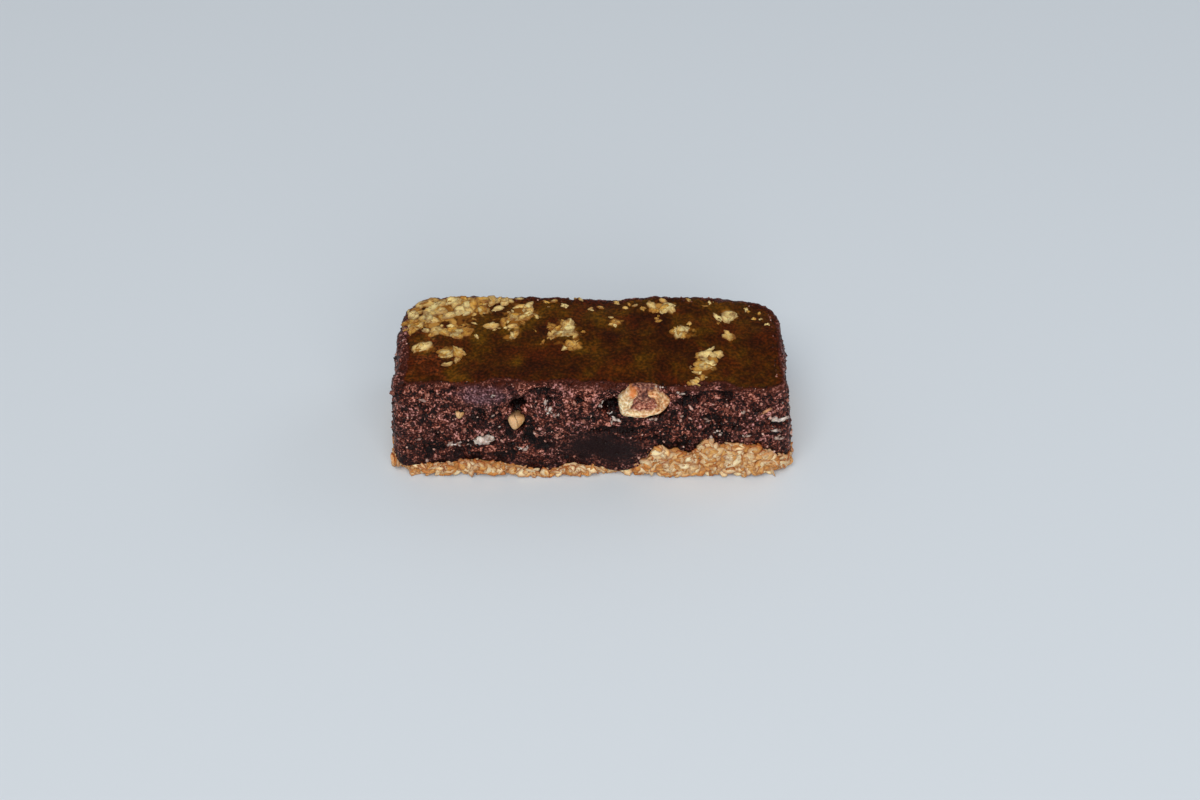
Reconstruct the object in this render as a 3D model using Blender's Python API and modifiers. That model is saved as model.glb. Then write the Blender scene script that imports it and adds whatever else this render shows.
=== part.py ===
"""An oat bar: a dark date and cocoa slab on a pressed rolled-oat base, with nut and oat pieces in it.

The bar lies flat on the XY plane. X runs along its length, -Y is the cut long side that shows
the layers, and the origin is at the middle of its underside. All lengths are in metres.
"""

import math
import random

import bmesh
import bpy
import numpy as np
from mathutils import Matrix, Vector

# Driving sizes; corner radii are those at the front and those at the back
BAR_LENGTH = 0.100
BAR_DEPTH = 0.038
BAR_HEIGHT = 0.029
BODY_FOOT = (0.0986, 0.0364)
BODY_TOP = (0.0940, 0.0334)
BODY_TOP_SHIFT = 0.0005
BODY_CORNERS = (0.0040, 0.0075)
BODY_TOP_EDGE = 0.0026
BASE_FOOT = (0.0994, 0.0374)
BASE_TOP = (0.0976, 0.0362)
BASE_BLOCK_HEIGHT = 0.0165
BASE_CORNERS = (0.0055, 0.0090)
BASE_FOOT_EDGE = 0.0026
BASE_TRIM = 0.0006
LAYER_GAP = 0.0003
POCKET_GAP = 0.00035
BODY_GRID = 0.0028
BASE_GRID = 0.0032
SEAM_GRID = (0.0025, 0.0037)

# Oat layer thickness along the front: level, and drifts as (x, half width, rise)
FRONT_LEVEL = 0.0037
FRONT_DRIFTS = (
    (-0.0300, 0.0090, 0.0014),
    (-0.0120, 0.0045, -0.0022),
    (0.0065, 0.0050, -0.0018),
    (0.0160, 0.0030, 0.0062),
    (0.0215, 0.0035, 0.0046),
    (0.0280, 0.0028, 0.0083),
    (0.0340, 0.0036, 0.0076),
    (0.0405, 0.0040, 0.0068),
    (0.0470, 0.0030, 0.0020),
)
REST_LEVEL = 0.0048
CORE_LEVEL = 0.0042
THINNEST_OATS = 0.0014

# Swells of the body's top, as (x, y, radius, rise)
TOP_SWELLS = (
    (-0.020, 0.000, 0.022, 0.0003),
    (0.042, -0.012, 0.016, -0.0016),
    (0.020, -0.016, 0.012, -0.0006),
    (0.004, 0.018, 0.007, -0.0011),
    (0.016, 0.017, 0.006, 0.0004),
    (0.046, 0.016, 0.012, -0.0020),
    (-0.047, 0.016, 0.009, -0.0012),
)
# Swells of the body's front, as (x, z, radius, rise)
FRONT_SWELLS = (
    (-0.0255, 0.0268, 0.0052, 0.0013),
    (-0.0130, 0.0265, 0.0040, -0.0010),
    (0.0048, 0.0225, 0.0030, -0.0020),
    (0.0015, 0.0095, 0.0070, -0.0009),
    (0.0050, 0.0150, 0.0035, -0.0009),
    (-0.0175, 0.0236, 0.0024, -0.0012),
    (0.0300, 0.0240, 0.0060, -0.0008),
    (0.0340, 0.0170, 0.0040, 0.0006),
)
# Where the oat base falls back from the bar's front, as (x, half width, rise)
BASE_FRONT_SWELLS = (
    (-0.0480, 0.0065, -0.0014),
    (0.0050, 0.0060, -0.0016),
    (0.0290, 0.0110, 0.0003),
    (0.0480, 0.0050, -0.0008),
)

# Clusters of rolled oats on the top, as (x, y, spread x, spread y, flakes, flake size)
OAT_CLUSTERS = (
    (-0.0395, 0.0115, 0.0055, 0.0045, 12, 1.0),
    (-0.0440, 0.0075, 0.0010, 0.0030, 3, 0.9),
    (-0.0300, 0.0130, 0.0045, 0.0025, 7, 1.0),
    (-0.0345, 0.0035, 0.0050, 0.0020, 6, 0.9),
    (-0.0410, -0.0025, 0.0005, 0.0005, 1, 1.0),
    (-0.0335, -0.0050, 0.0018, 0.0010, 3, 0.9),
    (-0.0235, 0.0145, 0.0025, 0.0010, 2, 0.9),
    (-0.0172, 0.0098, 0.0022, 0.0022, 5, 0.9),
    (-0.0245, 0.0047, 0.0003, 0.0003, 1, 0.8),
    (-0.0203, 0.0060, 0.0005, 0.0005, 1, 1.0),
    (-0.0193, 0.0016, 0.0006, 0.0003, 1, 0.9),
    (-0.0075, 0.0036, 0.0034, 0.0026, 7, 0.9),
    (-0.0048, -0.0018, 0.0008, 0.0004, 1, 0.8),
    (0.0058, 0.0072, 0.0006, 0.0006, 1, 0.8),
    (0.0172, 0.0120, 0.0024, 0.0010, 3, 0.9),
    (0.0220, 0.0036, 0.0022, 0.0012, 3, 0.9),
    (0.0280, -0.0060, 0.0014, 0.0020, 3, 1.0),
    (0.0248, -0.0091, 0.0010, 0.0004, 1, 0.9),
    (0.0250, -0.0135, 0.0008, 0.0003, 1, 0.9),
    (0.0338, 0.0097, 0.0018, 0.0014, 2, 0.9),
    (0.0332, 0.0031, 0.0003, 0.0003, 1, 0.7),
)
FLAKE_SEED = 41
FLAKE_LENGTH = (0.0036, 0.0054)
FLAKE_WIDTH = (0.52, 0.80)
FLAKE_THICKNESS = 0.0011
FLAKE_SUNK = 0.00018
FLAKE_RIM_MARGIN = 0.0013
RIM_FLAKE_SPACING = 0.0050
RIM_FLAKE_LENGTH = (0.0042, 0.0064)
RIM_FLAKE_WIDTH = (0.66, 0.88)
RIM_FLAKE_THICKNESS = 0.0018

# Pieces set in the body, as (centre, half sizes, turn about the upright in degrees)
NUT_CHUNK = ((0.0124, -0.0150, 0.0241), (0.0062, 0.0036, 0.0047), 0)
HAZELNUT_PIECE = ((-0.0181, -0.0161, 0.0180), (0.0023, 0.0019, 0.0031), 0)
PALE_OAT_PIECE = ((-0.0263, -0.0170, 0.0119), (0.0030, 0.0012, 0.0017), 0)
END_OAT_PIECE = ((0.0452, -0.0157, 0.0184), (0.0030, 0.0013, 0.0014), 24)
NUT_DISH = (0.0036, 0.0034, 0.0031)
NUT_DISH_SHIFT = (0.0007, 0.0018)


def clear_scene():
    for obj in list(bpy.data.objects):
        bpy.data.objects.remove(obj, do_unlink=True)


def new_collection(name):
    made = bpy.data.collections.new(name)
    bpy.context.scene.collection.children.link(made)
    return made


def food_material(name, hex_colour, roughness):
    """A plain Principled material in the food's mean colour."""
    channels = [int(hex_colour[i : i + 2], 16) / 255 for i in (0, 2, 4)]
    linear = [c / 12.92 if c <= 0.04045 else ((c + 0.055) / 1.055) ** 2.4 for c in channels]
    material = bpy.data.materials.new(name)
    material.use_nodes = True
    shader = material.node_tree.nodes["Principled BSDF"]
    shader.inputs["Base Color"].default_value = (*linear, 1)
    shader.inputs["Roughness"].default_value = roughness
    shader.inputs["Metallic"].default_value = 0
    material.diffuse_color = (*linear, 1)
    return material


def smooth_step(low, high, value):
    share = np.clip((value - low) / (high - low), 0, 1)
    return share * share * (3 - 2 * share)


def lumps(points, cell, seed):
    """Smooth noise from -1 to 1: a random number at each corner of a lattice, blended between."""
    place = np.asarray(points, float) / cell
    corner = np.floor(place).astype(np.int64)
    share = place - corner
    share = share * share * (3 - 2 * share)
    total = np.zeros(len(place))
    for step in np.ndindex(2, 2, 2):
        at = corner + np.array(step)
        mixed = at[:, 0] * 374761393 + at[:, 1] * 668265263 + at[:, 2] * 2147483647 + seed * 144665
        mixed &= 0xFFFFFFFF
        mixed = ((mixed ^ (mixed >> 13)) * 1274126177) & 0xFFFFFFFF
        value = ((mixed ^ (mixed >> 16)) & 0xFFFF) / 0xFFFF
        total += value * np.prod(np.where(step, share, 1 - share), axis=1)
    return 2 * total - 1


def swell(across, along, swells):
    """Sum of round humps: rise * exp(-distance^2 / radius^2)."""
    return sum(
        rise * np.exp(-((across - a) ** 2 + (along - b) ** 2) / radius**2)
        for a, b, radius, rise in swells
    )


def drift(x, drifts):
    """Sum of humps along x: rise * exp(-distance^2 / width^2)."""
    return sum(rise * np.exp(-(((x - a) / width) ** 2)) for a, width, rise in drifts)


def seam_height(x, y):
    """Height of the join between oats and body: wavy near the outside, level inside."""
    front = FRONT_LEVEL + drift(x, FRONT_DRIFTS)
    flat = np.column_stack([x, y, np.zeros(len(x))])
    rest = REST_LEVEL + 0.0017 * lumps(flat, 0.010, 5) + 0.0009 * lumps(flat, 0.0045, 6)
    near_front = smooth_step(-0.009, -0.0145, y)
    wavy = rest + (front - rest) * near_front
    to_edge = np.minimum(BAR_LENGTH / 2 - np.abs(x), BAR_DEPTH / 2 - np.abs(y))
    inside = smooth_step(0.0055, 0.0095, to_edge)
    return np.maximum(wavy + (CORE_LEVEL - wavy) * inside, THINNEST_OATS)


def body_relief(points, normals):
    """Moves the body's skin by its lumps, its top swells and its front swells."""
    x, y, z = points.T
    upward = smooth_step(0.3, 0.9, normals[:, 2])
    crags = 0.00055 * lumps(points, 0.008, 3) + 0.00062 * lumps(points, 0.0042, 4)
    skin = 0.00016 * lumps(points, 0.007, 9)
    moved = points + normals * (crags * (1 - upward) + skin * upward)[:, None]
    high = smooth_step(0.012, 0.025, z)
    moved[:, 2] += swell(x, y, TOP_SWELLS) * high
    facing = smooth_step(0.2, 0.8, -normals[:, 1])
    moved[:, 1] -= swell(x, z, FRONT_SWELLS) * facing
    return moved


def base_relief(points, normals):
    """Moves the oat block's sides by flake-sized bumps and its front by its swells."""
    x = points[:, 0]
    sideways = 1 - smooth_step(0.5, 0.95, np.abs(normals[:, 2]))
    bumps = 0.00030 * lumps(points, 0.0065, 11) + 0.00040 * lumps(points, 0.0034, 12)
    moved = points + normals * (bumps * sideways)[:, None]
    facing = smooth_step(0.2, 0.8, -normals[:, 1])
    moved[:, 1] -= drift(x, BASE_FRONT_SWELLS) * facing
    return moved


def object_from(bm, name, home, material=None):
    mesh = bpy.data.meshes.new(name)
    bmesh.ops.recalc_face_normals(bm, faces=bm.faces)
    bm.to_mesh(mesh)
    bm.free()
    obj = bpy.data.objects.new(name, mesh)
    home.objects.link(obj)
    if material:
        mesh.materials.append(material)
    return obj


def bake_modifiers(obj):
    """Applies the object's modifiers to its mesh."""
    graph = bpy.context.evaluated_depsgraph_get()
    baked = bpy.data.meshes.new_from_object(obj.evaluated_get(graph))
    materials = list(obj.data.materials)
    obj.modifiers.clear()
    obj.data = baked
    obj.data.materials.clear()
    for material in materials:
        obj.data.materials.append(material)


def rounded_block(name, foot, top, shift, levels, corners, edge, edge_on_top, grid, home, material):
    """A cube tapered from foot to top, its upright edges and one rim rounded, on an even grid."""
    low, high = levels
    bm = bmesh.new()
    bmesh.ops.create_cube(bm, size=1)
    for vertex in bm.verts:
        upper = vertex.co.z > 0
        length, depth = top if upper else foot
        vertex.co = Vector((vertex.co.x * length, vertex.co.y * depth, high if upper else low))
        vertex.co.y += shift if upper else 0
    for side, corner in zip((-1, 1), corners):
        upright = [
            e for e in bm.edges
            if abs(e.verts[0].co.z - e.verts[1].co.z) > (high - low) / 2
            and e.verts[0].co.y * side > foot[1] / 4
        ]
        bmesh.ops.bevel(bm, geom=upright, offset=corner, segments=6, profile=0.5, affect="EDGES")
    rim_height = high if edge_on_top else low
    rim = [e for e in bm.edges if all(abs(v.co.z - rim_height) < 1e-6 for v in e.verts)]
    bmesh.ops.bevel(bm, geom=rim, offset=edge, segments=4, profile=0.5, affect="EDGES")
    block = object_from(bm, name, home, material)
    remesh = block.modifiers.new("even_grid", "REMESH")
    remesh.mode = "VOXEL"
    remesh.voxel_size = grid
    bake_modifiers(block)
    return block


def shape_vertices(obj, move):
    """Sets the object's vertices to move(points, normals)."""
    count = len(obj.data.vertices)
    points = np.empty(count * 3)
    normals = np.empty(count * 3)
    obj.data.vertices.foreach_get("co", points)
    obj.data.vertices.foreach_get("normal", normals)
    moved = move(points.reshape(-1, 3), normals.reshape(-1, 3))
    obj.data.vertices.foreach_set("co", moved.ravel())
    obj.data.update()


def seam_cutter(name, offset, far, home):
    """A block whose one face is the join between the layers and whose other is level, at far."""
    width, depth = BAR_LENGTH * 1.1, BAR_DEPTH * 1.2
    bm = bmesh.new()
    bmesh.ops.create_grid(
        bm,
        x_segments=round(width / SEAM_GRID[0]),
        y_segments=round(depth / SEAM_GRID[1]),
        size=0.5,
        matrix=Matrix.Diagonal((width, depth, 1, 1)),
    )
    sheet = list(bm.faces)
    level = np.array([v.co for v in bm.verts])
    for vertex, height in zip(bm.verts, seam_height(level[:, 0], level[:, 1])):
        vertex.co.z = height + offset
    pulled = bmesh.ops.extrude_face_region(bm, geom=sheet)["geom"]
    for vertex in (v for v in pulled if isinstance(v, bmesh.types.BMVert)):
        vertex.co.z = far
    bmesh.ops.dissolve_limit(bm, angle_limit=math.radians(0.5), verts=bm.verts, edges=bm.edges)
    bmesh.ops.triangulate(bm, faces=bm.faces)
    return helper(object_from(bm, name, home))


def helper(obj):
    """Marks a cutter, which isn't part of the bar."""
    obj.hide_render = True
    obj.display_type = "WIRE"
    return obj


def boolean(obj, operation, other):
    """Adds and applies one Boolean, with an object or a whole collection.

    The solver is MANIFOLD, because EXACT loses the whole mesh once flakes are fused to it.
    """
    step = obj.modifiers.new(operation.lower(), "BOOLEAN")
    step.operation = operation
    step.solver = "MANIFOLD"
    if isinstance(other, bpy.types.Collection):
        step.operand_type = "COLLECTION"
        step.collection = other
    else:
        step.object = other
    bake_modifiers(obj)


def drop_scraps(obj):
    """Removes the small bits that a cut has left loose, keeping the largest body."""
    bm = bmesh.new()
    bm.from_mesh(obj.data)
    left = set(bm.verts)
    bodies = []
    while left:
        body = {left.pop()}
        edge = set(body)
        while edge:
            edge = {e.other_vert(v) for v in edge for e in v.link_edges} - body
            body |= edge
        left -= body
        bodies.append(body)
    bodies.sort(key=len)
    for body in bodies[:-1]:
        bmesh.ops.delete(bm, geom=list(body), context="VERTS")
    bm.to_mesh(obj.data)
    bm.free()


def oat_flake(name, place, facing, length, widths, thickness, rng, home):
    """One rolled oat: a squashed ball with an uneven oval outline, its thin axis along facing."""
    bm = bmesh.new()
    bmesh.ops.create_uvsphere(bm, u_segments=7, v_segments=3, radius=0.5)
    width = length * rng.uniform(*widths)
    for vertex in bm.verts:
        vertex.co.x *= 1 + rng.uniform(-0.12, 0.12)
        vertex.co.y *= 1 + rng.uniform(-0.12, 0.12)
    spin = Matrix.Rotation(rng.uniform(0, math.pi), 4, "Z")
    turn = Vector(facing).to_track_quat("Z", "Y").to_matrix().to_4x4()
    size = Matrix.Diagonal((length, width, thickness, 1))
    bmesh.ops.transform(bm, matrix=Matrix.Translation(place) @ turn @ spin @ size, verts=bm.verts)
    return object_from(bm, name, home)


def fuse(obj, helpers):
    """Joins a collection of pieces to obj in one union and removes the pieces."""
    boolean(obj, "UNION", helpers)
    for piece in list(helpers.objects):
        bpy.data.objects.remove(piece, do_unlink=True)
    bpy.data.collections.remove(helpers)


def rim_distance(x, y):
    """Distance in from the rounded rectangle of the body's top, negative outside it."""
    y = y - BODY_TOP_SHIFT
    corner = BODY_CORNERS[0] if y < 0 else BODY_CORNERS[1]
    over_x = abs(x) - BODY_TOP[0] / 2 + corner
    over_y = abs(y) - BODY_TOP[1] / 2 + corner
    outside = math.hypot(max(over_x, 0.0), max(over_y, 0.0))
    return corner - outside - min(max(over_x, over_y), 0.0)


def top_height(x, y):
    """Height of the body's top at a place, rounded off towards its rim."""
    short = BODY_TOP_EDGE - min(max(rim_distance(x, y), 0.0), BODY_TOP_EDGE)
    rounded = BODY_TOP_EDGE - math.sqrt(BODY_TOP_EDGE**2 - short**2)
    return BAR_HEIGHT - rounded + float(swell(x, y, TOP_SWELLS))


def top_facing(x, y, rng):
    """Direction that a flake on the top faces: square to the surface, with a small random tilt."""
    step = 0.0006
    slope_x = (top_height(x + step, y) - top_height(x - step, y)) / (2 * step)
    slope_y = (top_height(x, y + step) - top_height(x, y - step)) / (2 * step)
    return (rng.uniform(-0.13, 0.13) - slope_x, rng.uniform(-0.13, 0.13) - slope_y, 1)


def scatter_top_flakes(home):
    """Draws each cluster's flakes about its middle and lays them on the top."""
    rng = random.Random(FLAKE_SEED)
    for number, (cx, cy, spread_x, spread_y, count, size) in enumerate(OAT_CLUSTERS):
        for index in range(count):
            x = cx + spread_x * rng.uniform(-1, 1)
            y = cy + spread_y * rng.uniform(-1, 1)
            while rim_distance(x, y) < FLAKE_RIM_MARGIN:
                x, y = x * 0.985, y * 0.985
            facing = top_facing(x, y, rng)
            length = size * rng.uniform(*FLAKE_LENGTH)
            place = (x, y, top_height(x, y) - FLAKE_SUNK)
            name = f"flake_{number}_{index}"
            oat_flake(name, place, facing, length, FLAKE_WIDTH, FLAKE_THICKNESS, rng, home)


def outline_spans(length, depth, corners):
    """Straights and arc radii of a rounded rectangle, from the front's middle towards +X."""
    front, back = corners
    half_front, side = length / 2 - front, depth - front - back
    return (half_front, side, length - 2 * back, side, half_front), (front, back, back, front, 0)


def outline_point(along, length, depth, corners):
    """Point and outward direction on a rounded rectangle, along metres from the front's middle.

    Each straight adds its run along the heading, and each quarter arc turns the heading and adds
    its radius times the change of (sine, -cosine) of the heading.
    """
    x, y, heading = 0.0, -depth / 2, 0.0
    for straight, radius in zip(*outline_spans(length, depth, corners)):
        run = min(along, straight)
        x, y, along = x + run * math.cos(heading), y + run * math.sin(heading), along - run
        arc = min(along, radius * math.pi / 2)
        turned = heading + (arc / radius if radius else 0)
        x += radius * (math.sin(turned) - math.sin(heading))
        y -= radius * (math.cos(turned) - math.cos(heading))
        heading, along = turned, along - arc
    return (x, y), (math.sin(heading), -math.cos(heading))


def outline_length(length, depth, corners):
    straights, radii = outline_spans(length, depth, corners)
    return sum(straights) + sum(radii) * math.pi / 2


def scatter_rim_flakes(home):
    """Sets rolled oats into the base's sides, in rows as high as the oats reach there."""
    rng = random.Random(FLAKE_SEED + 1)
    around = outline_length(*BASE_FOOT, BASE_CORNERS)
    count = round(around / RIM_FLAKE_SPACING)
    for index in range(count):
        along = (index + rng.uniform(0.25, 0.75)) * around / count
        (x, y), outward = outline_point(along, *BASE_FOOT, BASE_CORNERS)
        top = float(seam_height(np.array([x]), np.array([y]))[0])
        for row in range(max(1, round((top - 0.0010) / 0.0036))):
            z = 0.0021 + row * 0.0034 + rng.uniform(-0.0006, 0.0006)
            slope = (BASE_FOOT[0] - BASE_TOP[0]) / 2 * z / BASE_BLOCK_HEIGHT
            inward = 0.00045 + slope + rng.uniform(-0.0001, 0.0005)
            if outward[1] < -0.5:
                inward -= float(drift(x, BASE_FRONT_SWELLS))
            tilt = (
                outward[0] + rng.uniform(-0.4, 0.4),
                outward[1] + rng.uniform(-0.4, 0.4),
                rng.uniform(-0.3, 0.8),
            )
            place = (x - outward[0] * inward, y - outward[1] * inward, z)
            length = rng.uniform(*RIM_FLAKE_LENGTH)
            name = f"rim_{index}_{row}"
            oat_flake(name, place, tilt, length, RIM_FLAKE_WIDTH, RIM_FLAKE_THICKNESS, rng, home)


def ellipsoid(name, spec, grow, segments, rings, home, material=None):
    centre, half_sizes, yaw = spec
    bm = bmesh.new()
    bmesh.ops.create_uvsphere(bm, u_segments=segments, v_segments=rings, radius=1)
    size = Matrix.Diagonal((*(half + grow for half in half_sizes), 1))
    turn = Matrix.Rotation(math.radians(yaw), 4, "Z")
    bmesh.ops.transform(bm, matrix=Matrix.Translation(centre) @ turn @ size, verts=bm.verts)
    return object_from(bm, name, home, material)


def cut_pocket(body, spec, cutters):
    """Hollows the body round a set-in piece, a little clear of it."""
    boolean(body, "DIFFERENCE", helper(ellipsoid("pocket", spec, POCKET_GAP, 14, 8, cutters)))


def uneven(obj, amount, cell, seed):
    """Presses a piece's surface in by up to amount, so that it stays inside its pocket."""

    def move(points, normals):
        inward = amount * (0.5 + 0.5 * lumps(points, cell, seed))
        return points - normals * inward[:, None]

    shape_vertices(obj, move)


def make_nut_chunk(home, material):
    """A broken nut: a lobe whose face is dished, so that its rim stands as a curved lip."""
    centre = NUT_CHUNK[0]
    chunk = ellipsoid("nut_chunk", NUT_CHUNK, 0, 20, 13, home, material)

    def dish(points, normals):
        across = (points[:, 0] - centre[0] - NUT_DISH_SHIFT[0]) / NUT_DISH[0]
        along = (points[:, 2] - centre[2] - NUT_DISH_SHIFT[1]) / NUT_DISH[1]
        facing = smooth_step(0.1, 0.7, -normals[:, 1])
        points = points.copy()
        points[:, 1] += NUT_DISH[2] * np.exp(-(across**2) - along**2) * facing
        return points

    shape_vertices(chunk, dish)
    uneven(chunk, 0.00045, 0.0022, 21)
    return chunk


def make_set_in_piece(name, spec, segments, rings, amount, seed, home, material):
    piece = ellipsoid(name, spec, 0, segments, rings, home, material)
    uneven(piece, amount, 0.0016, seed)
    return piece


def make_oat_base(bar, cutters, material):
    """The pressed oats: a low block with flakes set in its sides, cut along the join."""
    base = rounded_block(
        "oat_base", BASE_FOOT, BASE_TOP, 0.0, (-BASE_TRIM, BASE_BLOCK_HEIGHT),
        BASE_CORNERS, BASE_FOOT_EDGE, False, BASE_GRID, bar, material,
    )
    shape_vertices(base, base_relief)
    flakes = new_collection("rim flakes")
    scatter_rim_flakes(flakes)
    fuse(base, flakes)
    boolean(base, "DIFFERENCE", seam_cutter("above_oats", -LAYER_GAP / 2, 0.030, cutters))
    boolean(base, "INTERSECT", mould(cutters))
    drop_scraps(base)
    return base


def mould(cutters):
    """The box that the bar was pressed in: it trims the underside flat and the longest flakes."""
    bm = bmesh.new()
    size = Matrix.Diagonal((BAR_LENGTH, BAR_DEPTH, 2 * BAR_HEIGHT, 1))
    bmesh.ops.create_cube(bm, size=1, matrix=Matrix.Translation((0, 0, BAR_HEIGHT)) @ size)
    return helper(object_from(bm, "mould", cutters))


def make_body(bar, cutters, material):
    """The date and cocoa slab: crags on its sides, oats fused on its top, pockets for its pieces."""
    body = rounded_block(
        "date_cocoa_body", BODY_FOOT, BODY_TOP, BODY_TOP_SHIFT, (0.0, BAR_HEIGHT),
        BODY_CORNERS, BODY_TOP_EDGE, True, BODY_GRID, bar, material,
    )
    shape_vertices(body, body_relief)
    flakes = new_collection("top flakes")
    scatter_top_flakes(flakes)
    fuse(body, flakes)
    boolean(body, "DIFFERENCE", seam_cutter("below_body", LAYER_GAP / 2, -0.005, cutters))
    for spec in (NUT_CHUNK, HAZELNUT_PIECE, PALE_OAT_PIECE, END_OAT_PIECE):
        cut_pocket(body, spec, cutters)
    drop_scraps(body)
    return body


def main():
    clear_scene()
    bar = new_collection("oat bar")
    cutters = new_collection("cutters")
    cocoa = food_material("date_cocoa", "4A2B22", 0.55)
    oats = food_material("rolled_oats", "C4935C", 0.6)
    nut = food_material("nut", "D9AE78", 0.5)
    pale_oat = food_material("pale_oat", "CFC2AC", 0.6)
    make_oat_base(bar, cutters, oats)
    make_body(bar, cutters, cocoa)
    make_nut_chunk(bar, nut)
    make_set_in_piece("hazelnut_piece", HAZELNUT_PIECE, 12, 8, 0.00015, 22, bar, nut)
    make_set_in_piece("pale_oat_piece", PALE_OAT_PIECE, 12, 6, 0.00025, 23, bar, pale_oat)
    make_set_in_piece("end_oat_piece", END_OAT_PIECE, 12, 6, 0.00030, 24, bar, pale_oat)
    for obj in bar.objects:
        obj.data.shade_smooth()
        obj.data.set_sharp_from_angle(angle=math.radians(35))


main()
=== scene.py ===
"""The looks of the oat bar: a dark date and cocoa slab on pressed rolled oats.

Metres, +Z up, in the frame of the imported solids. -Y is the cut long side, which shows the layers.
Every piece is a surface worked out with numpy from the sizes below.
"""

import math
import random

import bpy
import numpy as np
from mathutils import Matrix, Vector


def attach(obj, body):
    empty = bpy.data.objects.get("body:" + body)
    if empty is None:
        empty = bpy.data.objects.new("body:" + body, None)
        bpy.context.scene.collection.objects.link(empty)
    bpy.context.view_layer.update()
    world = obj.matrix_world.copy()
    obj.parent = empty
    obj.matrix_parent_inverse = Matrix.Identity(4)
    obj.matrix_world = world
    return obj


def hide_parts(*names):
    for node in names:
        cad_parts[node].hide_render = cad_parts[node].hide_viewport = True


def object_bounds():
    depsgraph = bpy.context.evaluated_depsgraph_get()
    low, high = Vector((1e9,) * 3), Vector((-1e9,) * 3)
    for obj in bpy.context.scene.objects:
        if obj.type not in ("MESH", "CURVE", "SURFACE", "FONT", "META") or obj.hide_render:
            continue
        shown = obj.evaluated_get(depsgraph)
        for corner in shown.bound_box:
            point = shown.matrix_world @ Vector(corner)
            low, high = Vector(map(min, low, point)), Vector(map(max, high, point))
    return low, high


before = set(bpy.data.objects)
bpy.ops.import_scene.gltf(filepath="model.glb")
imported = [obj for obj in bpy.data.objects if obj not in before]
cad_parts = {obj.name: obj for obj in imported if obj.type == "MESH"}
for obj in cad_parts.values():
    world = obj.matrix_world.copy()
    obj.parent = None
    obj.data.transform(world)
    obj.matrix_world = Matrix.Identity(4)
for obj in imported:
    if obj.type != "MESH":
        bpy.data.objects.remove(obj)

CAD_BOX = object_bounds()

# Sizes of the solids, as part.py has them
BAR_LENGTH = 0.100
BAR_DEPTH = 0.038
BAR_HEIGHT = 0.029
BODY_FOOT = (0.0986, 0.0364)
BODY_TOP = (0.0940, 0.0334)
BODY_TOP_SHIFT = 0.0005
BODY_CORNERS = (0.0040, 0.0075)
BODY_TOP_EDGE = 0.0026
BASE_FOOT = (0.0994, 0.0374)
BASE_TOP = (0.0976, 0.0362)
BASE_BLOCK_HEIGHT = 0.0165
BASE_CORNERS = (0.0055, 0.0090)
BASE_FOOT_EDGE = 0.0026
LAYER_GAP = 0.0003

# Oat layer thickness along the front: level, and drifts as (x, half width, rise)
FRONT_LEVEL = 0.0037
FRONT_DRIFTS = (
    (-0.0300, 0.0090, 0.0014),
    (-0.0120, 0.0045, -0.0022),
    (0.0065, 0.0050, -0.0018),
    (0.0160, 0.0030, 0.0062),
    (0.0215, 0.0035, 0.0046),
    (0.0280, 0.0028, 0.0083),
    (0.0340, 0.0036, 0.0076),
    (0.0405, 0.0040, 0.0068),
    (0.0470, 0.0030, 0.0020),
)
REST_LEVEL = 0.0048
CORE_LEVEL = 0.0042
THINNEST_OATS = 0.0014

# Swells of the body's top, as (x, y, radius, rise)
TOP_SWELLS = (
    (-0.020, 0.000, 0.022, 0.0003),
    (0.042, -0.012, 0.016, -0.0016),
    (0.020, -0.016, 0.012, -0.0006),
    (0.004, 0.018, 0.007, -0.0011),
    (0.016, 0.017, 0.006, 0.0004),
    (0.046, 0.016, 0.012, -0.0020),
    (-0.047, 0.016, 0.009, -0.0012),
)
# Swells of the body's front, as (x, z, radius, rise)
FRONT_SWELLS = (
    (-0.0255, 0.0268, 0.0052, 0.0013),
    (-0.0130, 0.0265, 0.0040, -0.0010),
    (0.0048, 0.0225, 0.0030, -0.0020),
    (0.0015, 0.0095, 0.0070, -0.0009),
    (0.0050, 0.0150, 0.0035, -0.0009),
    (-0.0175, 0.0236, 0.0024, -0.0012),
    (0.0300, 0.0240, 0.0060, -0.0008),
    (0.0340, 0.0170, 0.0040, 0.0006),
)
# Where the oat base falls back from the bar's front, as (x, half width, rise)
BASE_FRONT_SWELLS = (
    (-0.0480, 0.0065, -0.0014),
    (0.0050, 0.0060, -0.0016),
    (0.0290, 0.0110, 0.0003),
    (0.0480, 0.0050, -0.0008),
)

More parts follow.
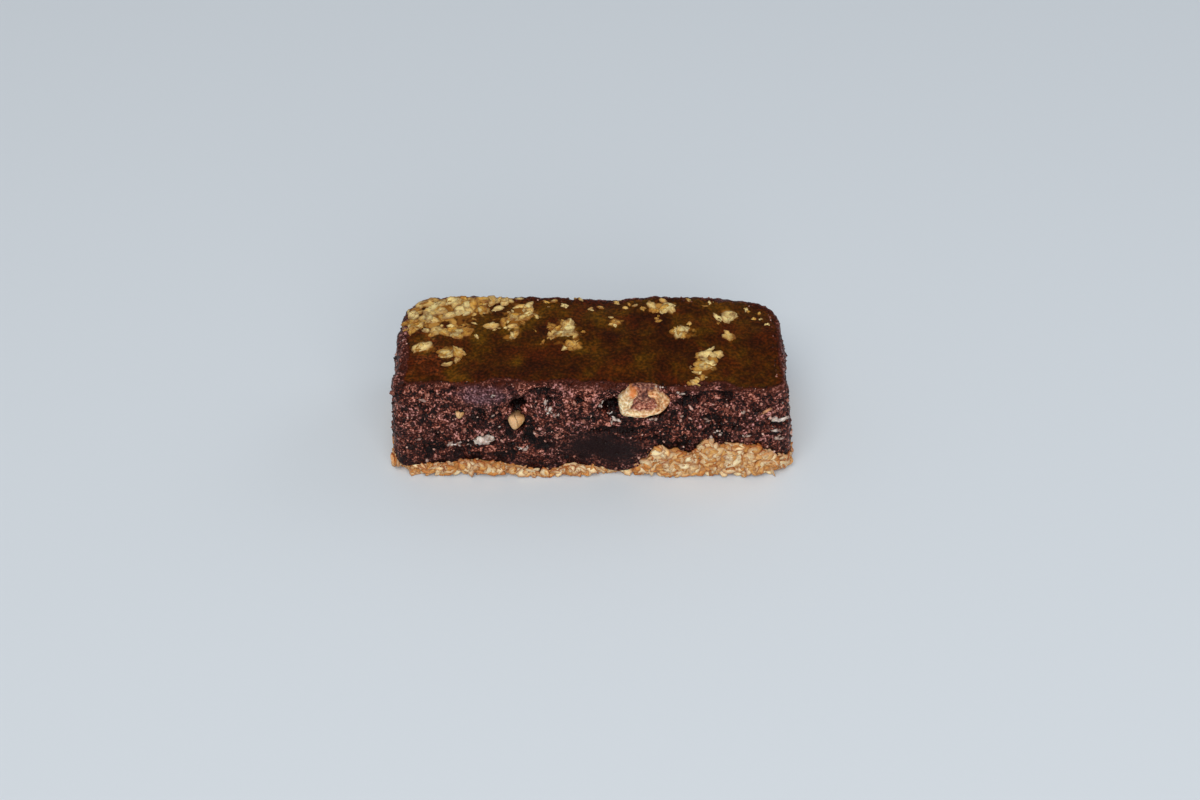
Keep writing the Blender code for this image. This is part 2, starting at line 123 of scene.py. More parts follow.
# Clusters of rolled oats on the top, as (x, y, spread x, spread y, flakes, flake size)
OAT_CLUSTERS = (
    (-0.0395, 0.0115, 0.0055, 0.0045, 12, 1.0),
    (-0.0440, 0.0075, 0.0010, 0.0030, 3, 0.9),
    (-0.0300, 0.0130, 0.0045, 0.0025, 7, 1.0),
    (-0.0345, 0.0035, 0.0050, 0.0020, 6, 0.9),
    (-0.0410, -0.0025, 0.0005, 0.0005, 1, 1.0),
    (-0.0335, -0.0050, 0.0018, 0.0010, 3, 0.9),
    (-0.0235, 0.0145, 0.0025, 0.0010, 2, 0.9),
    (-0.0172, 0.0098, 0.0022, 0.0022, 5, 0.9),
    (-0.0245, 0.0047, 0.0003, 0.0003, 1, 0.8),
    (-0.0203, 0.0060, 0.0005, 0.0005, 1, 1.0),
    (-0.0193, 0.0016, 0.0006, 0.0003, 1, 0.9),
    (-0.0075, 0.0036, 0.0034, 0.0026, 7, 0.9),
    (-0.0048, -0.0018, 0.0008, 0.0004, 1, 0.8),
    (0.0058, 0.0072, 0.0006, 0.0006, 1, 0.8),
    (0.0172, 0.0120, 0.0024, 0.0010, 3, 0.9),
    (0.0220, 0.0036, 0.0022, 0.0012, 3, 0.9),
    (0.0280, -0.0060, 0.0014, 0.0020, 3, 1.0),
    (0.0248, -0.0091, 0.0010, 0.0004, 1, 0.9),
    (0.0250, -0.0135, 0.0008, 0.0003, 1, 0.9),
    (0.0338, 0.0097, 0.0018, 0.0014, 2, 0.9),
    (0.0332, 0.0031, 0.0003, 0.0003, 1, 0.7),
)
FLAKE_SEED = 41
FLAKE_LENGTH = (0.0036, 0.0054)
FLAKE_WIDTH = (0.52, 0.80)
FLAKE_THICKNESS = 0.0011
FLAKE_SUNK = 0.00018
FLAKE_RIM_MARGIN = 0.0013
SOLID_FLAKE_VERTICES = 16

# Pieces set in the body, as (centre, half sizes, turn about the upright in degrees)
NUT_CHUNK = ((0.0124, -0.0150, 0.0241), (0.0062, 0.0036, 0.0047), 0)
HAZELNUT_PIECE = ((-0.0181, -0.0161, 0.0180), (0.0023, 0.0019, 0.0031), 0)
PALE_OAT_PIECE = ((-0.0263, -0.0170, 0.0119), (0.0030, 0.0012, 0.0017), 0)
END_OAT_PIECE = ((0.0452, -0.0157, 0.0184), (0.0030, 0.0013, 0.0014), 24)
SET_IN_PIECES = (NUT_CHUNK, HAZELNUT_PIECE, PALE_OAT_PIECE, END_OAT_PIECE)
# Half width and half height of the oval along which the broken nut's wall runs
NUT_WALL = (0.0046, 0.0037)

# The cut front's top edge is sharper than the solid's
FRONT_TOP_EDGE = 0.0013

# Points round each layer, and rings under the slab, up its sides, over its rim and across its top,
# and under the oats, round their foot, up their sides and across the join
BODY_COLUMNS = 780
BODY_ROWS = (3, 74, 8, 38)
BASE_COLUMNS = 480
BASE_ROWS = (8, 6, 22, 6)

# Zones of the cut front, as (x, z, half width, half height)
FUDGE_ZONE = (0.0026, 0.0088, 0.0110, 0.0056)
PURPLE_LUMP = (-0.0260, 0.0271, 0.0066, 0.0027)
# Clefts of the cut front, pressed in and darkened with painted shade, as (x, z, half width, half height,
# depth)
CLEFTS = (
    (0.0046, 0.0228, 0.0024, 0.0016, 0.0018),
    (0.0054, 0.0150, 0.0068, 0.0009, 0.0014),
    (-0.0175, 0.0236, 0.0017, 0.0011, 0.0016),
    (-0.0112, 0.0272, 0.0032, 0.0009, 0.0009),
    (0.0300, 0.0272, 0.0030, 0.0008, 0.0008),
    (-0.0010, 0.0185, 0.0030, 0.0006, 0.0007),
    (-0.0268, 0.0200, 0.0013, 0.0022, 0.0012),
    (0.0232, 0.0252, 0.0024, 0.0014, 0.0012),
)
# The crack over the lump, pressed in and darkened with painted shade: distance from the lump's middle in its
# half sizes, and depth
LUMP_CRACK = (1.16, 0.0009)

# Small pale flecks of oat near the top's back edge and its right end, as (x, y)
BACK_FLECKS = (
    (-0.0105, 0.0140), (-0.0070, 0.0125), (-0.0030, 0.0145), (0.0005, 0.0120), (0.0060, 0.0145),
    (0.0100, 0.0130), (0.0245, 0.0148), (0.0295, 0.0138), (0.0385, 0.0130), (0.0410, 0.0105),
    (0.0432, 0.0075), (-0.0210, 0.0040), (0.0165, 0.0075),
)
# Pale scraps that show in the cut front, as (x, z, length, tilt in degrees, tone)
FRONT_SCRAPS = (
    (-0.0342, 0.0107, 0.0026, 12, 0.50),
    (-0.0321, 0.0111, 0.0022, 24, 0.62),
    (-0.0300, 0.0103, 0.0017, 5, 0.45),
    (-0.0180, 0.0099, 0.0015, -50, 0.60),
    (-0.0171, 0.0093, 0.0019, 5, 0.75),
    (-0.0161, 0.0098, 0.0014, 50, 0.62),
    (-0.0113, 0.0240, 0.0030, 75, 0.70),
    (-0.0104, 0.0222, 0.0024, 60, 0.55),
    (-0.0090, 0.0208, 0.0018, 50, 0.40),
    (0.0028, 0.0240, 0.0023, 35, 0.85),
    (0.0018, 0.0229, 0.0016, 120, 0.90),
    (0.0044, 0.0198, 0.0022, 20, 0.60),
    (0.0060, 0.0187, 0.0024, -35, 0.70),
    (0.0048, 0.0179, 0.0016, 80, 0.45),
    (0.0166, 0.0284, 0.0026, 25, 0.72),
    (0.0217, 0.0270, 0.0018, 0, 0.62),
    (0.0150, 0.0194, 0.0020, 10, 0.50),
    (0.0306, 0.0145, 0.0028, 5, 0.62),
    (0.0371, 0.0142, 0.0018, 0, 0.35),
    (0.0275, 0.0181, 0.0022, 85, 0.25),
    (0.0448, 0.0158, 0.0030, -5, 0.40),
    (0.0452, 0.0132, 0.0026, 10, 0.30),
    (-0.0242, 0.0279, 0.0010, 0, 0.60),
)
# A toasted oat beside the end flake, as one of those
TOASTED_SCRAP = (0.0418, 0.0205, 0.0034, 35, 0.65)
# A tan nut bit on the left of the front, as the set-in pieces
TAN_BIT = ((-0.0316, -0.0168, 0.0207), (0.0012, 0.0010, 0.0015), 0)

# How many loose pieces there are
SIDE_CRUMBS = 4700
EDGE_CRUMBS = 600
BASE_FLAKES = 1290
STRAY_SCRAPS = 45

# Scattered flakes and crumbs end this far above the floor, so that none lies in it
CLEAR_OF_FLOOR = 0.00012

# The camera looks down at 45 degrees from 0.43 m away
CAMERA_PLACE = (0.0020, -0.2971, 0.3056)
CAMERA_TURN = (math.radians(45), 0, 0)
CAMERA_LENS = 50

# Soft square lights that face the bar, as (name, place, side, watts, colour)
LIGHTS = (
    ("window_above", (-0.35, -1.00, 1.80), 1.3, 24.0, "FFFDFA"),
    ("front_fill", (0.25, -1.00, 0.55), 0.8, 5.0, "FFFDFA"),
    ("side_fill", (1.4, 0.6, 0.9), 0.9, 3.0, "F4F8FF"),
)
LIT_PLACE = (0, 0, 0.01)


def smooth_step(low, high, value):
    """0 below low, 1 above high, and 3s^2 - 2s^3 of the share s between."""
    share = np.clip((value - low) / (high - low), 0, 1)
    return share * share * (3 - 2 * share)


def corner_values(at, seed):
    """A fixed random number from 0 to 1 for each whole-number lattice corner, from a bit hash."""
    mixed = at[:, 0] * 374761393 + at[:, 1] * 668265263 + at[:, 2] * 2147483647 + seed * 144665
    mixed &= 0xFFFFFFFF
    mixed = ((mixed ^ (mixed >> 13)) * 1274126177) & 0xFFFFFFFF
    return ((mixed ^ (mixed >> 16)) & 0xFFFF) / 0xFFFF


def lumps(points, cell, seed):
    """Smooth noise from -1 to 1: a random number at each corner of a lattice, blended between."""
    place = np.asarray(points, float) / cell
    corner = np.floor(place).astype(np.int64)
    share = place - corner
    share = share * share * (3 - 2 * share)
    total = np.zeros(len(place))
    for step in np.ndindex(2, 2, 2):
        weight = np.prod(np.where(step, share, 1 - share), axis=1)
        total += corner_values(corner + np.array(step), seed) * weight
    return 2 * total - 1


def crumbs(points, cell, seed):
    """Packed round crumbs from 0 to 1: 1 - d^2, with d the distance in cells to the nearest of a
    lattice of scattered crumb middles."""
    place = np.asarray(points, float) / cell
    corner = np.floor(place).astype(np.int64)
    nearest = np.full(len(place), 9.0)
    for step in np.ndindex(3, 3, 3):
        at = corner + np.array(step) - 1
        middle = at + np.column_stack([corner_values(at, seed + k) for k in (0, 17, 31)])
        nearest = np.minimum(nearest, ((place - middle) ** 2).sum(axis=1))
    return np.clip(1 - nearest, 0, 1)


def swell(across, along, swells):
    """Sum of round humps: rise * exp(-distance^2 / radius^2)."""
    return sum(
        rise * np.exp(-((across - a) ** 2 + (along - b) ** 2) / radius**2)
        for a, b, radius, rise in swells
    )


def drift(x, drifts):
    """Sum of humps along x: rise * exp(-distance^2 / width^2)."""
    return sum(rise * np.exp(-(((x - a) / width) ** 2)) for a, width, rise in drifts)


def patch(across, along, zone):
    """1 in the middle of an oval zone, falling to 0 outside it: exp(-r^4)."""
    a, b, half_across, half_along = zone[:4]
    radius = ((across - a) / half_across) ** 2 + ((along - b) / half_along) ** 2
    return np.exp(-(radius**2))


def seam_height(x, y):
    """Height of the join between oats and body: wavy near the outside, level inside."""
    front = FRONT_LEVEL + drift(x, FRONT_DRIFTS)
    flat = np.column_stack([x, y, np.zeros(len(x))])
    rest = REST_LEVEL + 0.0017 * lumps(flat, 0.010, 5) + 0.0009 * lumps(flat, 0.0045, 6)
    near_front = smooth_step(-0.009, -0.0145, y)
    wavy = rest + (front - rest) * near_front
    to_edge = np.minimum(BAR_LENGTH / 2 - np.abs(x), BAR_DEPTH / 2 - np.abs(y))
    inside = smooth_step(0.0055, 0.0095, to_edge)
    return np.maximum(wavy + (CORE_LEVEL - wavy) * inside, THINNEST_OATS)


def outline(share, length, depth, corners):
    """Rounded rectangle, walked from the front's middle towards +X and round.

    A straight adds its run along the heading, and a quarter arc turns the heading and adds its
    radius times the change of (sine, -cosine) of the heading. corners are the front and back radii.
    """
    front, back = corners
    side = depth - front - back
    straights = np.array([length / 2 - front, side, length - 2 * back, side, length / 2 - front])
    radii = np.array([front, back, back, front])
    spans = np.zeros(9)
    spans[0::2], spans[1::2] = straights, radii * math.pi / 2
    ends = np.cumsum(spans)
    walked = np.clip((share % 1)[:, None] * ends[-1] - (ends - spans), 0, spans)
    run, turned = walked[:, 0::2], walked[:, 1::2] / radii
    start = np.arange(4) * math.pi / 2
    x = run @ [1, 0, -1, 0, 1] + (radii * (np.sin(start + turned) - np.sin(start))).sum(axis=1)
    y = run @ [0, 1, 0, -1, 0] - (radii * (np.cos(start + turned) - np.cos(start))).sum(axis=1)
    heading = turned.sum(axis=1)
    return np.column_stack([x, y - depth / 2]), np.column_stack([np.sin(heading), -np.cos(heading)])


def spine(share, sizes, corners, half_length, y):
    """Points along the middle of an outline, the same for its front and its back at each x."""
    even, _ = outline(share, *sizes, (sum(corners) / 2,) * 2)
    return np.column_stack([np.clip(even[:, 0], -half_length, half_length), np.full(len(share), y)])


def ring_faces(rows, columns):
    """Triangles of a stack of closed rings, each cell between two rings split in two."""
    row, column = np.meshgrid(np.arange(rows - 1), np.arange(columns), indexing="ij")
    a = row * columns + column
    b = row * columns + (column + 1) % columns
    c, d = a + columns, b + columns
    return np.concatenate([np.stack([a, b, d], -1), np.stack([a, d, c], -1)]).reshape(-1, 3)


def weld(points, faces, values):
    """Merges points that share a place to a tenth of a micrometre, and drops flat triangles."""
    keys = np.round(points * 1e7).astype(np.int64)
    _, first, group = np.unique(keys, axis=0, return_index=True, return_inverse=True)
    faces = group.reshape(-1)[faces]
    a, b, c = faces.T
    whole = (a != b) & (b != c) & (a != c)
    return points[first], faces[whole], {name: value[first] for name, value in values.items()}


def ball_grid(rings, columns):
    """Angle down from the top, angle round, and triangles of a closed ball with single poles."""
    inner = 1 + np.arange((rings - 1) * columns).reshape(rings - 1, columns)
    last = 1 + (rings - 1) * columns
    index = np.vstack([np.zeros((1, columns), int), inner, np.full((1, columns), last)])
    after = np.roll(index, -1, axis=1)
    one = np.stack([index[:-1], index[1:], after[1:]], -1).reshape(-1, 3)
    two = np.stack([index[:-1], after[1:], after[:-1]], -1).reshape(-1, 3)
    faces = np.concatenate([one, two[columns:]])
    faces = faces[(faces[:, 0] != faces[:, 1]) & (faces[:, 1] != faces[:, 2])]
    down = np.repeat(np.linspace(0, math.pi, rings + 1)[1:-1], columns)
    around = np.tile(np.arange(columns) * 2 * math.pi / columns, rings - 1)
    return np.concatenate([[0], down, [math.pi]]), np.concatenate([[0], around, [0]]), faces


def grid_normals(grid):
    """Unit normals of a stack of closed rings: the cross product of its two directions."""
    along = np.roll(grid, -1, axis=1) - np.roll(grid, 1, axis=1)
    up = np.gradient(grid, axis=0)
    normal = np.cross(along, up)
    return normal / np.maximum(np.linalg.norm(normal, axis=2, keepdims=True), 1e-12)


def add_piece(name, points, faces, material, values, replaced=()):
    """Puts a surface into a mesh object that rides on the bar, with a value at each point. Its
    points are kept inside the solids' box."""
    low, high = (np.array(corner) for corner in CAD_BOX)
    mesh = bpy.data.meshes.new(name)
    mesh.from_pydata(np.clip(points, low, high), [], faces)
    for value_name, value in values.items():
        layer = mesh.attributes.new(value_name, "FLOAT", "POINT")
        layer.data.foreach_set("value", np.asarray(value, np.float32))
    mesh.shade_smooth()
    for each in material if isinstance(material, tuple) else (material,):
        mesh.materials.append(each)
    piece = bpy.data.objects.new(name, mesh)
    bpy.context.scene.collection.objects.link(piece)
    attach(piece, "root")
    if replaced:
        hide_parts(*replaced)
    return piece


def linear(hex_colour):
    """The linear RGBA of an sRGB hex colour."""
    channels = [int(hex_colour[i : i + 2], 16) / 255 for i in (0, 2, 4)]
    return [c / 12.92 if c <= 0.04045 else ((c + 0.055) / 1.055) ** 2.4 for c in channels] + [1]


def add(tree, kind, inputs=None, stops=None, **settings):
    """Adds a node: settings are its properties, inputs hold values or the outputs to link, and
    stops are a colour ramp's (place, hex colour) pairs."""
    node = tree.nodes.new(kind)
    for name, value in settings.items():
        setattr(node, name, value)
    for name, value in (inputs or {}).items():
        if isinstance(value, bpy.types.NodeSocket):
            tree.links.new(value, node.inputs[name])
        else:
            node.inputs[name].default_value = value
    if stops:
        ramp = node.color_ramp.elements
        while len(ramp) < len(stops):
            ramp.new(1)
        for element, (place, colour) in zip(ramp, stops):
            element.position = place
            element.color = linear(colour)
    return node


def blank_material(name, **sockets):
    """A material with only its Principled shader, whose sockets are set from the given values."""
    material = bpy.data.materials.new(name)
    material.use_nodes = True
    shader = material.node_tree.nodes["Principled BSDF"]
    for socket, value in sockets.items():
        shader.inputs[socket.replace("_", " ")].default_value = value
    return material, material.node_tree, shader


def surface_values(tree, *names):
    """The place on the piece, and the values that its mesh holds under the given names."""
    place = add(tree, "ShaderNodeTexCoord").outputs["Object"]
    return place, {n: add(tree, "ShaderNodeAttribute", attribute_name=n).outputs["Fac"] for n in names}


def finish_surface(tree, shader, colour, relief, strength, depth):
    """Gives the shader its colour, and raises its surface where relief is high, by up to depth."""
    tree.links.new(colour, shader.inputs["Base Color"])
    bump = add(tree, "ShaderNodeBump", {"Height": relief, "Strength": strength, "Distance": depth})
    tree.links.new(bump.outputs[0], shader.inputs["Normal"])


def weighted_sum(tree, total, *parts):
    """The total plus each part's value times its weight."""
    for value, weight in parts:
        terms = {0: value, 1: weight, 2: total}
        total = add(tree, "ShaderNodeMath", terms, operation="MULTIPLY_ADD").outputs[0]
    return total


def coated(tree, colour, *coats):
    """The colour with coats laid over it in turn, each as (its share, its colour, how it blends)."""
    for share, coat, blend in coats:
        keys = {0: share, 6: colour, 7: coat}
        colour = add(tree, "ShaderNodeMix", keys, data_type="RGBA", blend_type=blend).outputs[2]
    return colour


def cut_paste_material():
    """Date and cocoa paste, torn by the knife: matt, moist crumbs in purple browns that vary crumb by crumb,
    with painted light making their crests pinkish and painted shade making them nearly black between."""
    material, tree, shader = blank_material(
        "cut_date_cocoa_paste", Roughness=0.42, IOR=1.46, Specular_IOR_Level=0.13
    )
    place, value = surface_values(tree, "fudge", "lump", "depth", "rim")
    # A crumb's brightness: its height in the relief, which is painted light on the crests and painted shade
    # in the pits, clefts and hollows, then its own tone (1.1 mm cells), 1.4 mm clumps and 0.5 mm grit
    cells = add(tree, "ShaderNodeTexVoronoi", {"Vector": place, "Scale": 900.0})
    own = add(tree, "ShaderNodeSeparateColor", {0: cells.outputs["Color"]}).outputs[0]
    clumps = add(tree, "ShaderNodeTexNoise", {"Vector": place, "Scale": 700.0, "Detail": 1.0})
    grit = add(tree, "ShaderNodeTexNoise", {"Vector": place, "Scale": 1900.0, "Detail": 3.0})
    bright = weighted_sum(
        tree, -1.06, (own, 0.26), (value["depth"], 0.62), (clumps.outputs[0], 0.42),
        (grit.outputs[0], 1.86),
    )
    cut = add(
        tree, "ShaderNodeValToRGB", {0: bright},
        [(0.16, "050202"), (0.38, "190706"), (0.56, "3E1A13"), (0.70, "6B3629"), (0.84, "A66A58"),
         (0.98, "E0B8AA")],
    ).outputs[0]
    # Broad change between redder and more purple paste
    broad = add(tree, "ShaderNodeTexNoise", {"Vector": place, "Scale": 170.0, "Detail": 2.0})
    warm = add(
        tree, "ShaderNodeValToRGB", {0: broad.outputs[0]}, [(0.40, "787082"), (0.60, "987462")]
    ).outputs[0]
    # Redder where the knife dragged it along the top's edge, and mauve in the lump
    red = coated(tree, linear("481B0C"), (0.9, grit.outputs[0], "OVERLAY"))
    lump = add(
        tree, "ShaderNodeValToRGB", {0: grit.outputs[0]},
        [(0.34, "2C1618"), (0.52, "5E3A3E"), (0.70, "AC848A")],
    ).outputs[0]
    cut = coated(
        tree, cut,
        (0.6, warm, "OVERLAY"),
        (value["rim"], red, "MIX"),
        (value["lump"], lump, "MIX"),
        (value["fudge"], linear("1A0909"), "MIX"),
    )
    relief = weighted_sum(tree, grit.outputs[0], (cells.outputs["Distance"], -1.0))
    finish_surface(tree, shader, cut, relief, 0.8, 0.0004)
    return material


def syrup_skin_material():
    """Syrup set over the pressed paste: a smooth, softly glossy olive brown with darker and redder
    clouds, finely specked, redder at its torn edge and at its crumbly corner, with the pale oats
    that were pressed into it showing through."""
    material, tree, shader = blank_material(
        "set_syrup_skin", Roughness=0.36, IOR=1.46, Specular_IOR_Level=0.07
    )
    place, value = surface_values(tree, "oats", "rim", "corner")
    # Soft clouds of 6 mm in the syrup, redder ones of 9 mm, then dark and light specks of 0.7 mm
    cloud = add(tree, "ShaderNodeTexNoise", {"Vector": place, "Scale": 160.0, "Detail": 4.0})
    syrup = add(
        tree, "ShaderNodeValToRGB", {0: cloud.outputs[0]},
        [(0.34, "3C1904"), (0.46, "4C2604"), (0.56, "583505"), (0.68, "6C480A")],
    ).outputs[0]
    warmth = add(tree, "ShaderNodeTexNoise", {"Vector": place, "Scale": 110.0, "Detail": 2.0})
    reddish = add(
        tree, "ShaderNodeMapRange",
        {"Value": warmth.outputs[0], "From Min": 0.52, "From Max": 0.66, "To Max": 0.6},
    ).outputs[0]
    speck = add(tree, "ShaderNodeTexNoise", {"Vector": place, "Scale": 1400.0, "Detail": 4.0})
    specks = add(
        tree, "ShaderNodeValToRGB", {0: speck.outputs[0]},
        [(0.34, "2C2620"), (0.5, "808080"), (0.64, "CCB49C")],
    ).outputs[0]
    red = coated(tree, linear("54200A"), (0.9, specks, "OVERLAY"))
    crumbly = coated(tree, linear("8A4824"), (1.0, specks, "OVERLAY"))
    # Oats under the syrup, in ragged scraps of about 2 mm with dark gaps between
    edges = add(
        tree, "ShaderNodeTexVoronoi", {"Vector": place, "Scale": 480.0}, feature="DISTANCE_TO_EDGE"
    )
    torn = add(tree, "ShaderNodeTexNoise", {"Vector": place, "Scale": 800.0, "Detail": 2.0})
    scraps = weighted_sum(tree, torn.outputs[0], (edges.outputs["Distance"], 0.8))
    covered = add(tree, "ShaderNodeMath", {0: value["oats"], 1: scraps}, operation="MULTIPLY")
    oat_share = add(
        tree, "ShaderNodeMapRange",
        {"Value": covered.outputs[0], "From Min": 0.30, "From Max": 0.56, "To Max": 0.9},
    ).outputs[0]
    oat_cells = add(tree, "ShaderNodeTexVoronoi", {"Vector": place, "Scale": 480.0})
    oat_tone = add(tree, "ShaderNodeSeparateColor", {0: oat_cells.outputs["Color"]}).outputs[1]
    oat = add(
        tree, "ShaderNodeValToRGB", {0: oat_tone},
        [(0.0, "6C3C10"), (0.5, "9E6624"), (1.0, "CC984C")],
    ).outputs[0]
    top = coated(
        tree, syrup,
        (reddish, linear("5A2408"), "MIX"),
        (0.68, specks, "OVERLAY"),
        (value["rim"], red, "MIX"),
        (value["corner"], crumbly, "MIX"),
        (oat_share, oat, "MIX"),
    )
    finish_surface(tree, shader, top, speck.outputs[0], 0.25, 0.0003)
    return material


def crumb_material():
    """Loose crumbs of the same paste: moist, matt and dark, each one its own brown."""
    material, tree, shader = blank_material(
        "date_cocoa_crumbs", Roughness=0.4, IOR=1.46, Specular_IOR_Level=0.2
    )
    place, value = surface_values(tree, "tone")
    own = add(
        tree, "ShaderNodeValToRGB", {0: value["tone"]},
        [(0.0, "080303"), (0.3, "1E0B08"), (0.6, "401B14"), (0.80, "6C382C"), (0.94, "A26C5C"),
         (1.0, "D4AC9C")],
    ).outputs[0]
    grit = add(tree, "ShaderNodeTexNoise", {"Vector": place, "Scale": 2600.0, "Detail": 2.0})
    colour = coated(tree, own, (0.7, grit.outputs[0], "OVERLAY"))
    finish_surface(tree, shader, colour, grit.outputs[0], 0.5, 0.0002)
    return material


def oat_material(name, shade, middle, light, syrup, veil=0.0):
    """Rolled oats: flattened grain, streaked along each flake and patched with flour and bran,
    soaked in syrup towards its rim, so that it glows a little and its gaps are darker. veil is how
    much of the syrup has run over it, in patches."""
    material, tree, shader = blank_material(
        name, Roughness=0.46, IOR=1.45, Specular_IOR_Level=0.22, Subsurface_Weight=0.25,
        Subsurface_Radius=(0.0014, 0.0009, 0.0005), Subsurface_Scale=1.0,
    )
    place, value = surface_values(tree, "tone", "rim", "along", "across")
    # Grain and bran patches of about 0.7 mm, and 0.4 mm streaks along the flake, over its own tone
    bran = add(tree, "ShaderNodeTexNoise", {"Vector": place, "Scale": 1300.0, "Detail": 3.0})
    lengthwise = add(tree, "ShaderNodeMath", {0: value["along"], 1: 0.2}, operation="MULTIPLY")
    flake_place = add(
        tree, "ShaderNodeCombineXYZ", {0: lengthwise.outputs[0], 1: value["across"], 2: value["tone"]}
    )
    streaks = add(
        tree, "ShaderNodeTexNoise", {"Vector": flake_place.outputs[0], "Scale": 2400.0, "Detail": 2.0}
    )
    mixed = weighted_sum(tree, value["tone"], (bran.outputs[0], 0.75), (streaks.outputs[0], 0.75))
    own = add(
        tree, "ShaderNodeMapRange", {"Value": mixed, "From Min": 0.50, "From Max": 1.60}
    ).outputs[0]
    colour = add(
        tree, "ShaderNodeValToRGB", {0: own}, [(0.0, shade), (0.45, middle), (1.0, light)]
    ).outputs[0]
    # Syrup run over it, in patches of about 1.5 mm
    pools = add(tree, "ShaderNodeTexNoise", {"Vector": place, "Scale": 620.0, "Detail": 2.0})
    veiled = add(
        tree, "ShaderNodeMapRange",
        {"Value": pools.outputs[0], "From Min": 0.48, "From Max": 0.66, "To Max": veil},
    ).outputs[0]
    wet = linear(syrup)
    colour = coated(tree, colour, (veiled, wet, "MIX"), (value["rim"], wet, "MIX"))
    relief = weighted_sum(tree, bran.outputs[0], (streaks.outputs[0], 1.0))
    finish_surface(tree, shader, colour, relief, 0.35, 0.00025)
    return material


def nut_material():
    """Broken nut with its skin: a cream and tan waxy rim, faintly fibrous along its curve, round a
    reddish, rough torn middle that paste has stuck to."""
    material, tree, shader = blank_material(
        "broken_roasted_nut", Roughness=0.45, IOR=1.47, Specular_IOR_Level=0.35,
        Subsurface_Weight=0.2, Subsurface_Radius=(0.0016, 0.0009, 0.0005), Subsurface_Scale=1.0,
    )
    place, value = surface_values(tree, "lip", "toast", "orange", "paste")
    # Each finish changes shade with the same fine grain of about 0.7 mm
    fine = add(tree, "ShaderNodeTexNoise", {"Vector": place, "Scale": 1500.0, "Detail": 3.0})
    shades = {
        "torn": [(0.36, "5A2A20"), (0.5, "A05C48"), (0.6, "C88C74"), (0.7, "E8C0AC")],
        "pale": [(0.35, "C09C6C"), (0.5, "E6CC9C"), (0.65, "F8ECD0")],
        "tan": [(0.35, "985830"), (0.5, "CC8C54"), (0.65, "EAB888")],
        "paste": [(0.38, "34150F"), (0.52, "743E2C"), (0.68, "B8866C")],
    }
    shade = {
        name: add(tree, "ShaderNodeValToRGB", {0: fine.outputs[0]}, stops).outputs[0]
        for name, stops in shades.items()
    }
    lip = coated(tree, shade["pale"], (value["toast"], shade["tan"], "MIX"))
    colour = coated(
        tree, shade["torn"],
        (value["lip"], lip, "MIX"),
        (value["orange"], linear("D0742C"), "MIX"),
        (value["paste"], shade["paste"], "MIX"),
    )
    finish_surface(tree, shader, colour, fine.outputs[0], 0.5, 0.0003)
    return material


def rim_radius(y):
    """Radius of the slab's top edge: tight at the cut front, softer elsewhere."""
    return BODY_TOP_EDGE + (FRONT_TOP_EDGE - BODY_TOP_EDGE) * smooth_step(-0.0105, -0.0140, y)


def body_grid():
    """The slab as rings round a rounded rectangle, before its relief.

    The rings run out from a spine along the join with the oats, up the tapered sides, over the rim
    as a quarter circle and in to a spine on the top. Returns points and facings.
    """
    share = np.arange(BODY_COLUMNS) / BODY_COLUMNS
    under, side, rim, top = BODY_ROWS
    foot, outward = outline(share, *BODY_FOOT, BODY_CORNERS)
    head = outline(share, *BODY_TOP, BODY_CORNERS)[0] + [0, BODY_TOP_SHIFT]
    seam = seam_height(*foot.T) + LAYER_GAP / 2
    edge = rim_radius(head[:, 1])
    shoulder = BAR_HEIGHT - edge
    half_length = (BODY_TOP[0] - BODY_TOP[1]) / 2
    rows, facings = [], []

    def at_height(z):
        return foot + (head - foot) * (z / BAR_HEIGHT)[:, None]

    start = at_height(seam)
    middle = spine(share, BODY_FOOT, BODY_CORNERS, half_length, 0)
    for step in np.linspace(0, 1, under, endpoint=False):
        flat = middle + (start - middle) * step
        rows.append(np.column_stack([flat, seam_height(*flat.T) + LAYER_GAP / 2]))
        facings.append(np.tile([0.0, 0.0, -1.0], (BODY_COLUMNS, 1)))
    for step in np.linspace(0, 1, side, endpoint=False):
        z = seam + (shoulder - seam) * step
        rows.append(np.column_stack([at_height(z), z]))
        facings.append(np.column_stack([outward, np.zeros(BODY_COLUMNS)]))
    for angle in np.linspace(0, math.pi / 2, rim, endpoint=False):
        z = shoulder + edge * math.sin(angle)
        inset = edge * (1 - math.cos(angle))
        rows.append(np.column_stack([at_height(z) - outward * inset[:, None], z]))
        level = np.full(BODY_COLUMNS, math.sin(angle))
        facings.append(np.column_stack([outward * math.cos(angle), level]))
    start = head - outward * edge[:, None]
    middle = spine(share, BODY_TOP, BODY_CORNERS, half_length, BODY_TOP_SHIFT)
    for step in np.linspace(0, 1, top) ** 1.3:
        flat = start + (middle - start) * step
        rows.append(np.column_stack([flat, np.full(BODY_COLUMNS, BAR_HEIGHT)]))
        facings.append(np.tile([0.0, 0.0, 1.0], (BODY_COLUMNS, 1)))
    return np.array(rows), np.array(facings)


def piece_share(points, spec):
    """Distance from a set-in piece's middle, across and up the front, in shares of its half sizes."""
    centre, half, yaw = spec
    turn = math.radians(yaw)
    across = (points[:, 0] - centre[0]) * math.cos(turn) + (points[:, 1] - centre[1]) * math.sin(turn)
    return np.sqrt((across / half[0]) ** 2 + ((points[:, 2] - centre[2]) / half[2]) ** 2)


def cut_relief(points):
    """Relief of the cut sides, in metres: packed crumbs of 2.0, 1.1 and 0.6 mm, longer along the
    bar than high, less pits of 2.5 mm where a smooth noise is high."""
    along = points * [0.8, 0.8, 1.1]
    packed = 0.00070 * (crumbs(along, 0.0020, 51) - 0.6) + 0.00042 * (crumbs(along, 0.0011, 52) - 0.6)
    packed += 0.00016 * (crumbs(points, 0.0006, 53) - 0.6)
    return packed - 0.00080 * smooth_step(0.30, 0.75, lumps(points, 0.0025, 61))


